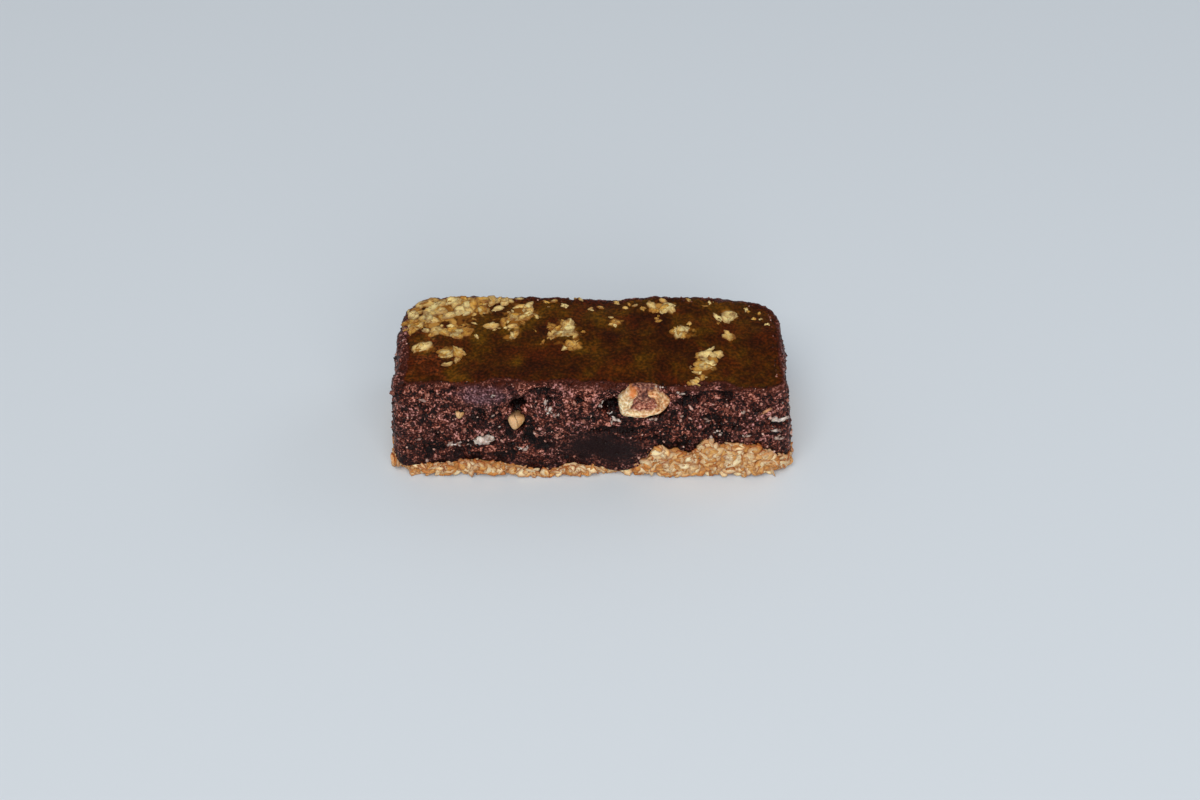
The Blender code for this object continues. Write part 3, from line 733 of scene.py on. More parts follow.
def slab_zones(points, facing):
    """What the slab's surface is at each point, as shares from 0 to 1.

    skin is the set syrup, inside a torn line that wanders up to 5 mm in from the top's edge. rim is
    the reddish paste that the knife dragged along that edge, and corner the crumbly corner of the
    top at the front left. fudge is the smooth dark oval of the front and the band over the oats at
    its left, lump is the purple lump and crack the arc over it. ragged is a sway of up to 1.6 mm.
    """
    x, y, z = points.T
    frontal = smooth_step(0.2, 0.8, -facing[:, 1])
    ragged = 0.0011 * lumps(points, 0.0030, 62) + 0.0005 * lumps(points, 0.0013, 63)

    fudge = patch(x + ragged, z + ragged, FUDGE_ZONE)
    above_seam = (z + ragged - seam_height(x, y)) / 0.0026
    fudge = np.maximum(fudge, 0.75 * np.exp(-above_seam**2) * smooth_step(-0.004, -0.012, x)) * frontal
    lump = patch(x + ragged / 2, z, PURPLE_LUMP) * frontal
    over = np.hypot((x - PURPLE_LUMP[0]) / PURPLE_LUMP[2], (z - PURPLE_LUMP[1]) / PURPLE_LUMP[3])
    crack = np.exp(-(((over - LUMP_CRACK[0]) / 0.10) ** 2)) * smooth_step(0, 0.001, z - PURPLE_LUMP[1])

    from_edge = rim_distance(x, y)
    tear = 0.0016 + 0.0013 * lumps(points, 0.0045, 71) + 0.0006 * lumps(points, 0.0020, 74)
    tear += 0.0014 * smooth_step(-0.043, -0.047, x)
    skin = smooth_step(-0.0002, 0.0004, from_edge - tear) * (facing[:, 2] > 0.2)
    near_edge = np.exp(-(((from_edge - 0.0003) / 0.0034) ** 2)) * smooth_step(-0.1, 0.5, facing[:, 2])
    patchy = 0.50 + 0.7 * lumps(points, 0.003, 72) + 0.4 * lumps(points, 0.0011, 73)
    torn_edge = np.exp(-(((from_edge - tear) / 0.0006) ** 2)) * (facing[:, 2] > 0)
    rim = np.clip(np.maximum(0.9 * near_edge * patchy, torn_edge) * (1 - crack * frontal), 0, 1)
    corner = np.exp(-(((x + 0.046) / 0.010) ** 2) - ((y + 0.012) / 0.014) ** 2)
    corner *= smooth_step(0.0002, 0.0030, from_edge - tear)
    corner = np.clip(corner * (0.6 + 0.9 * lumps(points, 0.0016, 78)), 0, 1)
    return frontal, ragged, fudge, lump, crack, skin, rim, corner


def body_surface():
    """The slab's surface with its relief, and the values that its materials read.

    Each point moves along its facing: by the solids' crags on the sides or the syrup's gentle waves
    on the top, by the crumb relief where there is no skin, less the front's clefts and the hollows
    round the set-in pieces. Then the solids' swells lift the top and push out the front.
    """
    grid, facings = body_grid()
    points, facing = grid.reshape(-1, 3), facings.reshape(-1, 3)
    x, y, z = points.T
    frontal, ragged, fudge, lump, crack, skin, rim, corner = slab_zones(points, facing)
    upward = smooth_step(0.3, 0.9, facing[:, 2])
    crags = 0.00055 * lumps(points, 0.008, 3) + 0.00062 * lumps(points, 0.0042, 4)
    skin_waves = 0.00016 * lumps(points, 0.007, 9) + 0.00007 * lumps(points, 0.0021, 10)
    relief = cut_relief(points) * (1 - 0.85 * fudge) * (1 - 0.70 * lump)
    cleft = sum(patch(x + ragged, z + ragged, c) * c[4] for c in CLEFTS)
    cleft = (cleft + crack * LUMP_CRACK[1]) * frontal
    hollow = 0
    for spec in SET_IN_PIECES:
        hollow += 1.1 * spec[1][1] * smooth_step(0.99, 0.86, piece_share(points, spec)) * frontal
    moved = crags * (1 - upward) + 0.8 * relief * (1 - skin) + skin_waves * upward - cleft
    placed = points + facing * (np.where(facing[:, 2] < -0.5, 0, moved) - hollow)[:, None]
    placed[:, 2] += swell(x, y, TOP_SWELLS) * smooth_step(0.012, 0.025, z)
    placed[:, 1] -= swell(x, z, FRONT_SWELLS) * frontal

    # The oats that show through the syrup lie in ovals 2 mm wider than the clusters
    oats = sum(
        np.exp(-(((x - cx) / (sx + 0.0022)) ** 2) - ((y - cy) / (sy + 0.0020)) ** 2)
        for cx, cy, sx, sy, *_ in OAT_CLUSTERS
    )
    # The paste is a little lighter high up, and most of all left of the nut
    upper = 0.06 * smooth_step(0.015, 0.022, z) - 0.04
    upper += 0.16 * np.exp(-(((x + 0.003) / 0.010) ** 2) - ((z - 0.0255) / 0.0035) ** 2) * frontal
    values = {
        "skin": skin,
        "oats": np.clip(oats, 0, 1) * np.clip(0.85 + 0.9 * lumps(points, 0.0030, 77), 0.2, 1),
        "fudge": fudge,
        "lump": lump * np.clip(0.75 + 0.5 * lumps(points, 0.0014, 76), 0, 1),
        # depth carries painted light and shade: lighter the higher the crumb relief stands, darker in its
        # pits, in the clefts, the crack and the hollows round the set-in pieces
        "depth": np.clip(0.55 + upper + (relief - cleft - hollow) / 0.0013, 0, 1),
        "rim": rim,
        "corner": corner,
    }
    return placed.reshape(grid.shape), values


def rim_distance(x, y):
    """Distance in from the rounded rectangle of the body's top, negative outside it."""
    y = y - BODY_TOP_SHIFT
    corner = np.where(y < 0, *BODY_CORNERS)
    over_x = np.abs(x) - BODY_TOP[0] / 2 + corner
    over_y = np.abs(y) - BODY_TOP[1] / 2 + corner
    outside = np.hypot(np.maximum(over_x, 0), np.maximum(over_y, 0))
    return corner - outside - np.minimum(np.maximum(over_x, over_y), 0)


def top_height(x, y):
    """Height of the body's top at a place, rounded off towards its rim."""
    edge = rim_radius(y)
    short = edge - np.clip(rim_distance(x, y), 0, edge)
    rounded = edge - np.sqrt(edge**2 - short**2)
    return BAR_HEIGHT - rounded + swell(x, y, TOP_SWELLS)


def frames(facing, spin):
    """Two unit directions square to each facing, turned about it by spin."""
    facing = facing / np.linalg.norm(facing, axis=1, keepdims=True)
    helper = np.where(np.abs(facing[:, 2:3]) > 0.9, [[1.0, 0.0, 0.0]], [[0.0, 0.0, 1.0]])
    first = np.cross(helper, facing)
    first /= np.linalg.norm(first, axis=1, keepdims=True)
    second = np.cross(facing, first)
    cos, sin = np.cos(spin)[:, None], np.sin(spin)[:, None]
    return first * cos + second * sin, second * cos - first * sin, facing


def placed_copies(local, faces, places, facing, spin):
    """Joins copies into one mesh: each copy's points are its place plus x, y and z along its own
    frame, moved back by as much as the copy overshoots the solids' box or the floor, and its
    faces are the shared faces with that copy's offset."""
    first, second, third = frames(facing, spin)
    points = (
        places[:, None]
        + local[..., 0:1] * first[:, None]
        + local[..., 1:2] * second[:, None]
        + local[..., 2:3] * third[:, None]
    )
    low, high = np.array(CAD_BOX[0]) + [0, 0, CLEAR_OF_FLOOR], np.array(CAD_BOX[1])
    inward = np.maximum(low - points.min(axis=1), 0) - np.maximum(points.max(axis=1) - high, 0)
    points += inward[:, None]
    count, each = local.shape[:2]
    offsets = np.arange(count)[:, None, None] * each
    return points.reshape(-1, 3), (faces[None] + offsets).reshape(-1, 3)


def oat_shapes(rng, length, width, thickness, ragged, flat):
    """Rolled oats lying flat: rings from the middle of the upper face round the edge to that of the
    lower one.

    The outline is an oval, drawn in towards its ends by up to 45 percent, wavy by two, three and
    five waves and torn by a random share at each column. The faces stand at half the thickness
    (to the power flat nearer the edge), pressed in along the middle and dented at random, and
    the whole flake is bent a little.
    """
    columns = 15
    _, around, faces = ball_grid(6, columns)
    ring = np.concatenate([[0], 1 + np.repeat(np.arange(5), columns), [6]])
    reach = np.array([0, 0.32, 0.64, 0.90, 1.0, 0.80, 0])[ring]
    level = np.array([1, 1, 0.97, 0.70, 0, -0.8, -1])[ring]
    level = np.sign(level) * np.abs(level) ** flat
    count = len(length)
    wave = rng.uniform(0, 2 * math.pi, (count, 3, 1))
    size = rng.uniform(0.3, 1.0, (count, 3, 1))
    drawn_in = 1 - rng.uniform(0, 0.45, (count, 1)) * np.cos(around) ** 2
    edge = 1 + 0.10 * size[:, 0] * np.cos(2 * around + wave[:, 0])
    edge += 0.09 * size[:, 1] * np.cos(3 * around + wave[:, 1])
    edge += 0.06 * size[:, 2] * np.cos(5 * around + wave[:, 2])
    torn = rng.uniform(-1, 1, (count, columns))
    edge += ragged * torn[:, np.round(around * columns / (2 * math.pi)).astype(int) % columns]
    x = reach * edge * np.cos(around)
    y = reach * edge * np.sin(around) * drawn_in
    dents = rng.uniform(-0.22, 0.18, (count, len(around))) * (level > 0)
    crease = -0.22 * np.exp(-((y / 0.25) ** 2)) * (level > 0.8)
    bend = rng.uniform(-0.05, 0.08, (count, 1)) * x**2 + rng.uniform(-0.06, 0.08, (count, 1)) * x * y
    half = thickness[:, None] / 2
    z = half * (level + dents + crease) + bend * length[:, None] / 2
    local = np.stack([x * length[:, None] / 2, y * width[:, None] / 2, z], axis=-1)
    return local, faces, np.broadcast_to(reach, (count, len(around)))


def oat_values(local, reach, tones, rim_depth):
    """Values at an oat's points: its tone, its place along and across it, and the syrup that it
    holds, which grows from a third of the way out to rim_depth (one, or one an oat) at its edge."""
    depth = np.repeat(np.broadcast_to(rim_depth, len(tones)), local.shape[1])
    return {
        "tone": np.repeat(tones, local.shape[1]),
        "along": local[..., 0].ravel(),
        "across": local[..., 1].ravel(),
        "rim": depth * smooth_step(0.35, 1.02, reach.ravel()),
    }


def oat_piece(name, rng, places, facing, size, material, edges, rim_depth, tones):
    """One mesh of many rolled oats: size is their length, width and thickness, edges how ragged and
    how domed they are, and rim_depth how much syrup their rims hold."""
    local, faces, reach = oat_shapes(rng, *size, *edges)
    spin = rng.uniform(0, math.pi, len(places))
    points, faces = placed_copies(local, faces, places, facing, spin)
    values = oat_values(local, reach, tones, rim_depth)
    add_piece(name, points, faces, material, values)


def make_body(cut_material, skin_material):
    """The slab, which replaces the plain solid: one closed surface, cut paste on its sides and
    syrup skin where most of a face's points have it."""
    grid, values = body_surface()
    faces = ring_faces(*grid.shape[:2])
    points, faces, values = weld(grid.reshape(-1, 3), faces, values)
    materials = cut_material, skin_material
    piece = add_piece(
        "date_cocoa_slab", points, faces, materials, values, ["date_cocoa_body"]
    )
    skinned = values["skin"][faces].mean(axis=1) > 0.5
    piece.data.polygons.foreach_set("material_index", skinned.astype(np.int32))
    return grid


def crumb_shapes(rng, count, smallest, largest):
    """Broken crumbs: balls of few faces whose points are pulled in and out at random."""
    down, around, faces = ball_grid(4, 6)
    ball = np.column_stack([np.sin(down) * np.cos(around), np.sin(down) * np.sin(around), np.cos(down)])
    radius = smallest + (largest - smallest) * rng.random((count, 1, 1)) ** 2.2
    squash = rng.uniform(0.6, 1.4, (count, 1, 3))
    wobble = rng.uniform(0.62, 1.22, (count, len(down), 1))
    return ball[None] * radius * squash * wobble, faces, radius[:, 0]


def make_side_crumbs(grid, material):
    """Crumbs of 0.4 to 1.4 mm standing in the cut sides, fewer in the smooth fudge and lump and low
    on the left of the front, and small ones along the top's edge, where the knife has dragged them."""
    rng = np.random.default_rng(7)
    under, side, rim, _ = BODY_ROWS
    normals = grid_normals(grid)
    row = np.concatenate(
        [under + rng.integers(1, side, SIDE_CRUMBS), under + side + rng.integers(0, rim + 3, EDGE_CRUMBS)]
    )
    column = rng.integers(0, BODY_COLUMNS, len(row))
    places, facing = grid[row, column], normals[row, column]
    front = smooth_step(0.2, 0.8, -facing[:, 1])
    smooth = np.maximum(
        patch(places[:, 0], places[:, 2], FUDGE_ZONE), patch(places[:, 0], places[:, 2], PURPLE_LUMP)
    )
    above_seam = (places[:, 2] - seam_height(*places[:, :2].T)) / 0.0030
    low_left = np.exp(-(above_seam**2)) * smooth_step(-0.004, -0.010, places[:, 0])
    smooth = front * np.maximum(smooth, low_left)
    # None lies in a set-in piece
    inside_piece = np.zeros(len(places), bool)
    for spec in SET_IN_PIECES:
        inside_piece |= (piece_share(places, spec) < 1.02) & (front > 0.5)
    keep = (rng.random(len(places)) > 0.92 * smooth) & ~inside_piece
    small = (row >= under + side - 4)[keep]
    places, facing = places[keep], facing[keep]
    local, faces, radius = crumb_shapes(rng, len(places), 0.00018, 0.00066)
    scale = np.where(small, 0.55, 1.0)[:, None]
    local, radius = local * scale[..., None], radius * scale
    lean = facing + rng.normal(0, 0.5, facing.shape)
    sunk = places - facing * radius * 0.35
    spin = rng.uniform(0, math.pi, len(places))
    points, faces = placed_copies(local, faces, sunk, lean, spin)
    tone = np.repeat(rng.random(len(places)), local.shape[1])
    add_piece("side_crumbs", points, faces, material, {"tone": tone})


def solid_flakes():
    """Places, facings and lengths of the oats fused on the solid's top, drawn as part.py does."""
    rng = random.Random(FLAKE_SEED)
    rows = []
    for cx, cy, spread_x, spread_y, count, scale in OAT_CLUSTERS:
        for _ in range(count):
            x = cx + spread_x * rng.uniform(-1, 1)
            y = cy + spread_y * rng.uniform(-1, 1)
            while rim_distance(x, y) < FLAKE_RIM_MARGIN:
                x, y = x * 0.985, y * 0.985
            tilt = rng.uniform(-0.13, 0.13), rng.uniform(-0.13, 0.13)
            length = scale * rng.uniform(*FLAKE_LENGTH)
            width = length * rng.uniform(*FLAKE_WIDTH)
            for _ in range(2 * SOLID_FLAKE_VERTICES):
                rng.uniform(-0.12, 0.12)
            spin = rng.uniform(0, math.pi)
            rows.append((x, y, *tilt, length, width, spin))
    return np.array(rows)


def on_top(x, y, tilt_x, tilt_y, sunk):
    """Places on the top, sunk below it, and facings square to it plus a small tilt."""
    step = 0.0006
    slope_x = (top_height(x + step, y) - top_height(x - step, y)) / (2 * step)
    slope_y = (top_height(x, y + step) - top_height(x, y - step)) / (2 * step)
    places = np.column_stack([x, y, top_height(x, y) - sunk])
    return places, np.column_stack([tilt_x - slope_x, tilt_y - slope_y, np.ones(len(x))])


def make_top_oats(material):
    """The oats fused on the top, smaller broken ones pressed flat among them, and loose flecks."""
    rng = np.random.default_rng(12)
    x, y, tilt_x, tilt_y, length, width, spin = solid_flakes().T
    places, facing = on_top(x, y, tilt_x, tilt_y, FLAKE_SUNK)
    thickness = np.full(len(x), FLAKE_THICKNESS * 0.70)
    local, faces, reach = oat_shapes(rng, length, width, thickness, 0.13, 0.6)
    points, faces = placed_copies(local, faces, places, facing, spin)
    values = oat_values(local, reach, rng.uniform(0.1, 1, len(x)), 0.65)
    add_piece("top_oats", points, faces, material, values)

    # Two to four broken oats for each flake, strewn over its cluster, and three at each fleck
    scraps = [c[4] * 4 if c[4] < 6 else c[4] * 2 for c in OAT_CLUSTERS]
    middles = np.repeat(np.array([c[:4] for c in OAT_CLUSTERS]), scraps, axis=0)
    spread = middles[:, 2:] * 1.1 + 0.0009
    flat = middles[:, :2] + spread * rng.normal(0, 0.60, (len(middles), 2))
    flecks = np.repeat(np.array(BACK_FLECKS), 3, axis=0)
    flat = np.vstack([flat, flecks + rng.normal(0, 0.0008, flecks.shape)])
    small = np.repeat([False, True], [len(middles), len(flecks)])
    kept = rim_distance(*flat.T) > 0.0010
    flat, small = flat[kept], small[kept]
    count = len(flat)
    tilt = rng.normal(0, 0.13, (2, count))
    places, facing = on_top(*flat.T, *tilt, rng.uniform(0.00004, 0.00026, count))
    length = rng.uniform(0.0014, 0.0042, count) * np.where(small, 0.6, 1.0)
    size = length, length * rng.uniform(0.42, 0.75, count), rng.uniform(0.0003, 0.0006, count)
    oat_piece(
        "top_oat_scraps", rng, places, facing, size, material, (0.16, 0.6), 0.70,
        rng.random(count),
    )


def base_grid():
    """The pressed oats as rings: the flat underside, a rounded foot, the sides up to the join and
    the join in to a spine, with the solids' swells."""
    share = np.arange(BASE_COLUMNS) / BASE_COLUMNS
    under, foot_rows, side, top = BASE_ROWS
    foot, outward = outline(share, *BASE_FOOT, BASE_CORNERS)
    head, _ = outline(share, *BASE_TOP, BASE_CORNERS)
    fall = drift(foot[:, 0], BASE_FRONT_SWELLS) * smooth_step(0.2, 0.8, -outward[:, 1])
    foot, head = foot + outward * fall[:, None], head + outward * fall[:, None]
    seam = seam_height(*foot.T) - LAYER_GAP / 2
    half_length = (BASE_FOOT[0] - BASE_FOOT[1]) / 2
    middle = spine(share, BASE_FOOT, BASE_CORNERS, half_length, 0)
    round_foot = np.minimum(BASE_FOOT_EDGE, 0.6 * seam)
    rows = []

    def at_height(z):
        return foot + (head - foot) * (z / BASE_BLOCK_HEIGHT)[:, None]

    for step in np.linspace(0, 1, under, endpoint=False):
        edge = foot - outward * round_foot[:, None]
        flat = middle + (edge - middle) * step
        rows.append(np.column_stack([flat, np.zeros(BASE_COLUMNS)]))
    for angle in np.linspace(0, math.pi / 2, foot_rows, endpoint=False):
        z = round_foot * (1 - math.cos(angle))
        inset = round_foot * (1 - math.sin(angle))
        rows.append(np.column_stack([at_height(z) - outward * inset[:, None], z]))
    for step in np.linspace(0, 1, side):
        z = round_foot + (seam - round_foot) * step
        rows.append(np.column_stack([at_height(z), z]))
    edge = rows[-1][:, :2]
    for step in np.linspace(0, 1, top + 1)[1:]:
        flat = edge + (middle - edge) * step
        rows.append(np.column_stack([flat, seam_height(*flat.T) - LAYER_GAP / 2]))
    return np.array(rows), outward


def make_base_core(material):
    """The oat layer's core, which replaces the solid: its sides are lumpy and its underside flat.
    Returns its rings and which way each column faces."""
    grid, outward = base_grid()
    under, foot_rows, side, _ = BASE_ROWS
    sides = np.zeros(grid.shape[0])
    sides[under : under + foot_rows + side - 1] = 1
    flat = grid.reshape(-1, 3)
    bumps = 0.00030 * lumps(flat, 0.0065, 11) + 0.00040 * lumps(flat, 0.0034, 12)
    bumps += 0.00035 * (crumbs(flat, 0.0026, 54) - 0.7)
    bumps = bumps.reshape(grid.shape[:2]) * sides[:, None] - 0.0003 * sides[:, None]
    lifted = np.clip(grid[..., 2] / 0.001, 0, 1)
    shaped = grid.copy()
    shaped[..., :2] += outward[None] * (bumps * lifted)[..., None]
    tone = np.clip(0.30 + 0.4 * lumps(flat, 0.002, 55), 0, 1)
    values = {"tone": tone, "rim": np.clip(0.45 - 600 * bumps.ravel(), 0, 0.9)}
    values |= {"along": flat[:, 2], "across": flat[:, 0] + flat[:, 1]}
    points, faces, values = weld(shaped.reshape(-1, 3), ring_faces(*grid.shape[:2]), values)
    add_piece("oat_base_core", points, faces, material, values, ["oat_base"])
    return shaped, outward


def make_base_flakes(shaped, outward, material):
    """Rolled oats pressed flat against the core all round, more where it is high. They are shorter
    where little of it is left above them, and more soaked in syrup close to the join."""
    rng = np.random.default_rng(31)
    under, foot_rows, side, _ = BASE_ROWS
    count = BASE_FLAKES
    height = shaped[under + foot_rows + side - 1, :, 2] + 0.0012
    column = rng.choice(BASE_COLUMNS, count, p=height / height.sum())
    row = under + foot_rows + rng.integers(0, side, count)
    low = rng.random(count) < 0.0020 / height[column]
    row[low] = under + rng.integers(1, foot_rows + 2, low.sum())
    out = np.column_stack([outward[column], np.zeros(count)])
    places = shaped[row, column] + out * rng.uniform(-0.0004, 0.0002, count)[:, None]
    facing = out + rng.normal(0, 0.33, (count, 3)) + [0, 0, 0.10]
    room = seam_height(*places[:, :2].T) - places[:, 2]
    length = rng.uniform(0.0028, 0.0060, count)
    length = np.minimum(length, 0.0018 + 2.0 * np.maximum(room, 0.0004))
    places[:, 2] = np.maximum(places[:, 2], 0.0008)
    size = length, length * rng.uniform(0.42, 0.74, count), rng.uniform(0.0003, 0.0005, count)
    soaked = 0.48 + 0.45 * rng.random(count) ** 2 + 0.25 * smooth_step(0.0020, 0.0005, room)
    oat_piece(
        "oat_base_flakes", rng, places, facing, size, material, (0.12, 0.5),
        np.minimum(soaked, 1), rng.random(count),
    )


def set_in_ball(spec, rings, columns):
    """A closed ball's unit points, a set-in piece's half sizes, middle and turn, and triangles."""
    centre, half, yaw = spec
    down, around, faces = ball_grid(rings, columns)
    unit = np.column_stack([np.sin(down) * np.cos(around), np.sin(down) * np.sin(around), np.cos(down)])
    return unit, np.array(half), np.array(centre), math.radians(yaw), faces


def turned(local, yaw):
    """Points turned about the upright."""
    cos, sin = math.cos(yaw), math.sin(yaw)
    x, y, z = local.T
    return np.column_stack([x * cos - y * sin, x * sin + y * cos, z])


def nut_lip(x, z):
    """Height of the broken nut's pale wall over its torn middle, as 0 to 1, and how far round the U
    each place is, from 0 at the upper left to 1 at the upper right.

    The wall is a band along an oval. Its half width is 0.85 mm, 1.0 mm more in the left limb and
    0.8 mm more in the right one, and its height falls off as a circle's does.
    """
    x, z = x / NUT_WALL[0], z / NUT_WALL[1]
    bearing = np.degrees(np.arctan2(z, x))
    walk = ((bearing - 105) % 360) / 320
    limbs = 1.0 * np.exp(-(((walk - 0.20) / 0.16) ** 2)) + 0.8 * np.exp(-(((walk - 0.86) / 0.10) ** 2))
    ends = smooth_step(0.0, 0.07, walk) * smooth_step(1.06, 0.97, walk)
    half_width = (0.00085 + 0.001 * limbs) * np.sqrt(ends + 1e-6)
    off = (np.hypot(x, z) - 1) * 0.0041 / half_width
    return np.sqrt(np.clip(1 - off**2, 0, 1)) * (ends > 0.02), np.clip(walk, 0, 1)


def make_broken_nut(material):
    """The large nut piece: a kernel broken across, seen end on as a U of pale wall round a torn,
    crumbly middle that is set back.

    It is a ball with its pole to the front. Its outline is an oval, a little squared, wavy and drawn
    up at its top, and its front stands out by the wall's height, roughened by 1.7 and 0.7 mm lumps
    and by ridges along the U.
    """
    centre, half, _ = NUT_CHUNK
    down, around, faces = ball_grid(150, 150)
    reach = np.sin(down)
    x, z = reach * np.cos(around) * half[0], reach * np.sin(around) * half[2]
    flat = np.column_stack([x, 0 * x, z])
    sway = 0.00045 * lumps(flat, 0.0021, 80) + 0.00022 * lumps(flat, 0.0009, 81)
    height, walk = nut_lip(x + sway, z - 0.0002 + sway)
    rough = 0.00034 * lumps(flat, 0.0017, 82) + 0.00010 * lumps(flat, 0.0007, 83)
    around_u = np.hypot((x + sway) / NUT_WALL[0], (z + sway) / NUT_WALL[1])
    ridges = np.sin(34 * around_u + 6 * walk)
    torn = 0.00075 * (crumbs(flat, 0.0013, 84) - 0.6)
    stuck = np.exp(-((((x - 0.0006) / 0.0030) ** 2 + ((z - 0.0028) / 0.0024) ** 2) ** 2))
    facing_front = smooth_step(-0.1, 0.25, np.cos(down))
    lifted = (0.00190 * height + (rough + 0.00005 * ridges) * height + torn * (1 - height)) * facing_front
    lifted += 0.0009 * stuck * facing_front
    y = -np.cos(down) * np.where(np.cos(down) > 0, 0.0008, 0.0022) - lifted
    squared = 1 + 0.07 * np.abs(np.sin(2 * around)) ** 1.5
    wavy = 0.97 * squared + 0.02 * np.sin(3 * around + 2) + 0.015 * np.sin(7 * around)
    raised = 1 + 0.13 * smooth_step(0.0010, 0.0045, z)
    points = np.column_stack([1.03 * x * wavy, y - 0.0004, z * wavy * raised]) + centre

    mottled = lumps(flat, 0.0012, 85)
    lip = smooth_step(0.12, 0.40, height + 0.15 * mottled)
    orange = np.exp(-(((x + 0.0028) / 0.0023) ** 2) - ((z - 0.0041) / 0.0019) ** 2)
    orange += 0.35 * np.exp(-(((walk - 0.90) / 0.05) ** 2)) * (around_u < 0.95)
    toast = smooth_step(0.40, 0.80, walk) * 0.75 + 0.30 * ridges * height + 0.25 * mottled
    toast -= 0.7 * np.exp(-((((x + 0.0046) / 0.0016) ** 2) + ((z - 0.0014) / 0.0014) ** 2))
    values = {
        "lip": lip,
        "toast": np.clip(toast + 0.15, 0, 1),
        "orange": np.clip(orange * (0.75 + 0.5 * mottled + 0.15 * ridges), 0, 0.9),
        "paste": np.clip(1.0 * stuck * (1 - lip) + 0.9 * smooth_step(0.90, 1.0, reach) * (1 - height), 0, 1),
    }
    add_piece("broken_nut", points, faces, material, values, ["nut_chunk"])


def make_whole_bit(name, spec, lean, seed, material, replaced):
    """A small whole nut bit: a ball, blunt above and narrowing downwards to one side, with one dark
    crease slanting down its face."""
    unit, half, centre, yaw, faces = set_in_ball(spec, 40, 56)
    across, along = unit[:, 0], unit[:, 2]
    slant = across + lean * (along - 0.4)
    crease = np.exp(-(((slant - 0.05) / 0.055) ** 2)) * smooth_step(-0.75, -0.1, along)
    crease *= smooth_step(0, 0.4, -unit[:, 1])
    below = smooth_step(0.4, -1, along)
    local = unit * half * 0.99
    local[:, 0] = local[:, 0] * (1 - 0.42 * below) - 0.22 * half[0] * below
    local[:, 2] -= half[2] * 0.30 * smooth_step(0.45, 1.05, along)
    own = local + [float(seed), 0, 0]
    local -= unit * (0.10 * half[0] * crease + 0.00005 * (1 + lumps(own, 0.0007, seed)))[:, None]
    values = {
        "tone": np.clip(0.85 - 0.5 * smooth_step(-0.3, 0.7, across) - 0.2 * smooth_step(0, -1, along), 0, 1),
        "along": local[:, 2],
        "across": local[:, 0],
        "rim": np.clip(0.8 * crease + 0.7 * smooth_step(0.82, 1.0, np.hypot(across, along)), 0, 1),
    }
    add_piece(name, turned(local, yaw) + centre, faces, material, values, replaced)


def make_pale_flakes(material):
    """The two pale oats set in the front, each a folded flake over its solid's own oval, with a
    torn outline: eight and thirteen waves round it."""
    for name, spec, node, tilt, seed in (
        ("pale_oat_flake", PALE_OAT_PIECE, "pale_oat_piece", 12, 87),
        ("end_oat_flake", END_OAT_PIECE, "end_oat_piece", -12, 90),
    ):
        unit, half, centre, yaw, faces = set_in_ball(spec, 32, 60)
        bearing = np.arctan2(unit[:, 2], unit[:, 0])
        torn = 1 + 0.07 * np.sin(8 * bearing + seed) + 0.05 * np.sin(13 * bearing + 2 * seed)
        local = unit * half * 0.94
        local[:, [0, 2]] *= torn[:, None]
        turn = math.radians(tilt)
        x, z = local[:, 0].copy(), local[:, 2].copy()
        local[:, 0] = x * math.cos(turn) - z * math.sin(turn)
        local[:, 2] = x * math.sin(turn) + z * math.cos(turn)
        fold = np.sin(unit[:, 0] * 6 + unit[:, 2] * 4) + 0.6 * np.sin(unit[:, 0] * 13 - unit[:, 2] * 7)
        local[:, 1] += 0.00016 * fold * (np.abs(unit[:, 1]) > 0.1)
        local -= unit * (0.0002 * (1 + lumps(local + 1, 0.0008, seed)))[:, None]
        values = {
            "tone": np.clip(0.70 + 0.4 * lumps(local + 1, 0.0010, seed + 1), 0, 1),
            "along": local[:, 0],
            "across": local[:, 2],
            "rim": np.clip(0.22 - 0.30 * fold, 0, 0.6),
        }
        add_piece(name, turned(local, yaw) + centre, faces, material, values, [node])


def on_front(grid, scraps):
    """Points of the slab's front at each scrap's x and z, from the nearest column and row."""
    under, side, rim, _ = BODY_ROWS
    sheet = grid[under : under + side + rim]
    front = np.flatnonzero(sheet[20, :, 1] < sheet[20, :, 1].min() + 0.003)
    places = []
    for x, z, *_ in scraps:
        column = front[np.argmin(np.abs(sheet[20, front, 0] - x))]
        places.append(sheet[np.argmin(np.abs(sheet[:, column, 2] - z)), column])
    return np.array(places)


def make_scraps(name, rng, grid, scraps, material):
    """Torn scraps of oat in the cut front: each is four thin bits of it, strewn along its tilt."""
    spots, bits = np.array(scraps), 4
    _, _, length, tilt, tone = np.repeat(spots, bits, axis=0).T
    count = len(length)
    turn = np.radians(tilt)
    along = np.tile(np.linspace(-0.34, 0.34, bits), len(spots)) * length
    aside = rng.normal(0, 0.12, count) * length
    places = np.repeat(on_front(grid, scraps), bits, axis=0)
    places += np.column_stack(
        [along * np.cos(turn) - aside * np.sin(turn), -rng.uniform(0.0, 0.0003, count),
         along * np.sin(turn) + aside * np.cos(turn)]
    )
    facing = np.tile([0.0, -1.0, 0.3], (count, 1)) + rng.normal(0, 0.30, (count, 3))
    size = length * rng.uniform(0.22, 0.80, count)
    width = size * rng.uniform(0.35, 0.75, count)
    local, faces, reach = oat_shapes(rng, size, width, size * 0.18, 0.30, 0.5)
    points, faces = placed_copies(local, faces, places, facing, turn + rng.normal(0, 0.5, count))
    tones = tone + rng.uniform(-0.45, 0.05, count)
    add_piece(name, points, faces, material, oat_values(local, reach, tones, 0.75))


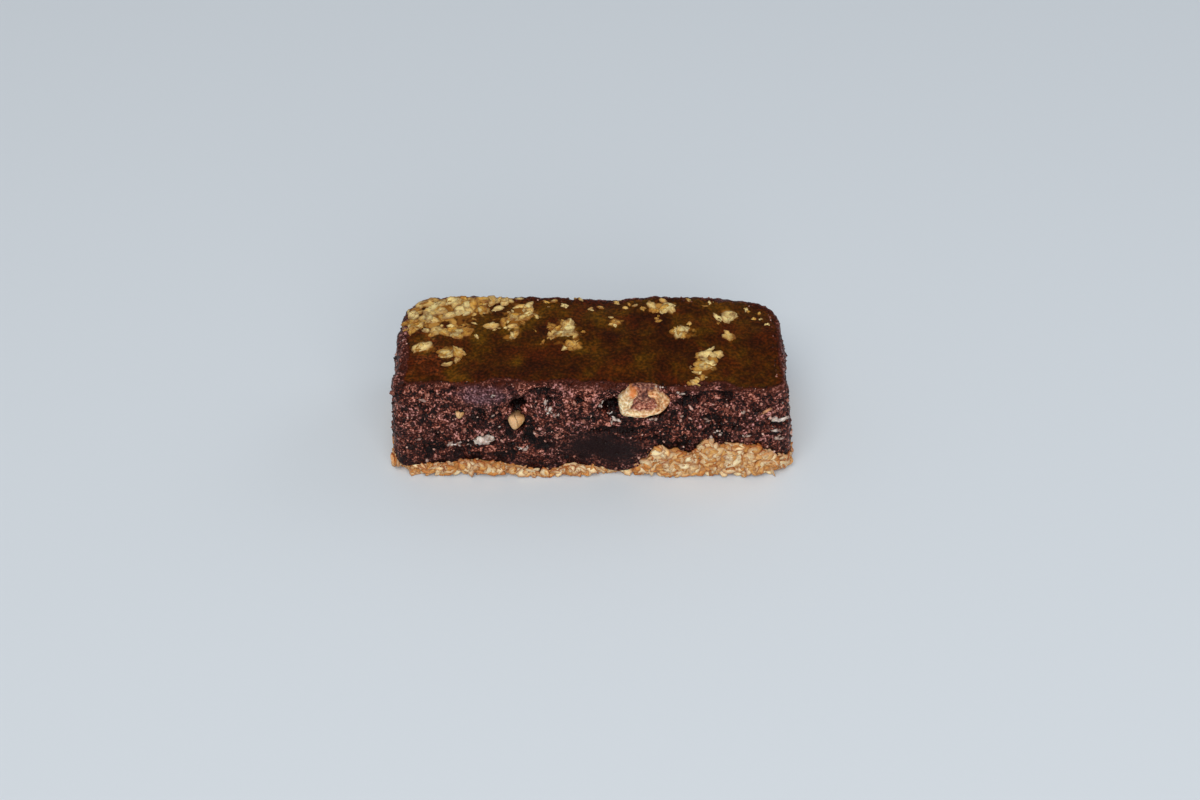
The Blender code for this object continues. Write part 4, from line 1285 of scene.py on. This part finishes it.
def make_stray_scraps(grid, material):
    """A few small dull scraps of oat all round the cut sides, none in the front's smooth oval."""
    rng = np.random.default_rng(44)
    under, side, _, _ = BODY_ROWS
    row = under + rng.integers(3, side - 8, STRAY_SCRAPS)
    column = rng.integers(0, BODY_COLUMNS, STRAY_SCRAPS)
    places = grid[row, column]
    clear = patch(places[:, 0], places[:, 2], FUDGE_ZONE) * (places[:, 1] < 0) < 0.02
    row, column, places = row[clear], column[clear], places[clear]
    count = len(places)
    facing = grid_normals(grid)[row, column] + rng.normal(0, 0.3, (count, 3))
    length = rng.uniform(0.0008, 0.0020, count)
    size = length, length * rng.uniform(0.4, 0.7, count), np.clip(length * 0.25, 0.0003, 0.0006)
    oat_piece(
        "stray_scraps", rng, places, facing, size, material, (0.15, 0.8), 0.7,
        rng.uniform(0.0, 0.35, count),
    )


def make_floor():
    """A plain pale matt floor."""
    material, _, shader = blank_material("pale_floor", Roughness=0.55)
    shader.inputs["Base Color"].default_value = linear("D5DCE2")
    mesh = bpy.data.meshes.new("floor")
    half = 3.0
    corners = [(-half, -half, 0), (half, -half, 0), (half, half, 0), (-half, half, 0)]
    mesh.from_pydata(corners, [], [(0, 1, 2, 3)])
    mesh.materials.append(material)
    floor = bpy.data.objects.new("floor", mesh)
    bpy.context.scene.collection.objects.link(floor)


def make_light(name, place, side, watts, colour):
    """A square light at a place, turned to the bar."""
    data = bpy.data.lights.new(name, "AREA")
    data.size, data.energy, data.color = side, watts, linear(colour)[:3]
    light = bpy.data.objects.new(name, data)
    light.location = place
    light.rotation_euler = (Vector(LIT_PLACE) - Vector(place)).to_track_quat("-Z", "Y").to_euler()
    bpy.context.scene.collection.objects.link(light)


def make_stage():
    """Floor, a large soft light above the cut side, two weaker ones, and the camera."""
    make_floor()
    world = bpy.data.worlds.new("soft_room")
    world.use_nodes = True
    background = world.node_tree.nodes["Background"]
    background.inputs["Color"].default_value = linear("E6ECF4")
    background.inputs["Strength"].default_value = 0.36
    bpy.context.scene.world = world
    for light in LIGHTS:
        make_light(*light)
    data = bpy.data.cameras.new("camera")
    data.lens = CAMERA_LENS
    data.clip_start = 0.01
    camera = bpy.data.objects.new("camera", data)
    camera.location, camera.rotation_euler = CAMERA_PLACE, CAMERA_TURN
    bpy.context.scene.collection.objects.link(camera)
    bpy.context.scene.camera = camera
    bpy.context.scene.view_settings.view_transform = "Standard"


def main():
    base_oats = oat_material("pressed_rolled_oats", "A05A24", "E4A65C", "FFE8B8", "964616")
    top_oats = oat_material("oats_under_syrup", "8A5214", "D49C42", "FADC94", "642E0A", 0.60)
    pale_oats = oat_material("floury_oat_scraps", "80605A", "BCA294", "F4E6D8", "4E2E28", 0.5)
    toasted = oat_material("toasted_oat", "8A4C2C", "C07C50", "E0AC84", "5E2A18")
    kernel = oat_material("roasted_nut_kernel", "8E5A28", "BC8A52", "DEB484", "5A3014")
    nut = nut_material()
    grid = make_body(cut_paste_material(), syrup_skin_material())
    make_side_crumbs(grid, crumb_material())
    make_top_oats(top_oats)
    make_base_flakes(*make_base_core(base_oats), base_oats)
    make_broken_nut(nut)
    make_whole_bit("hazelnut_bit", HAZELNUT_PIECE, 0.45, 86, kernel, ["hazelnut_piece"])
    make_whole_bit("tan_nut_bit", TAN_BIT, -0.2, 89, kernel, ())
    make_pale_flakes(pale_oats)
    rng = np.random.default_rng(43)
    make_scraps("pale_scraps", rng, grid, FRONT_SCRAPS, pale_oats)
    make_scraps("toasted_scrap", rng, grid, [TOASTED_SCRAP], toasted)
    make_stray_scraps(grid, pale_oats)
    make_stage()


main()
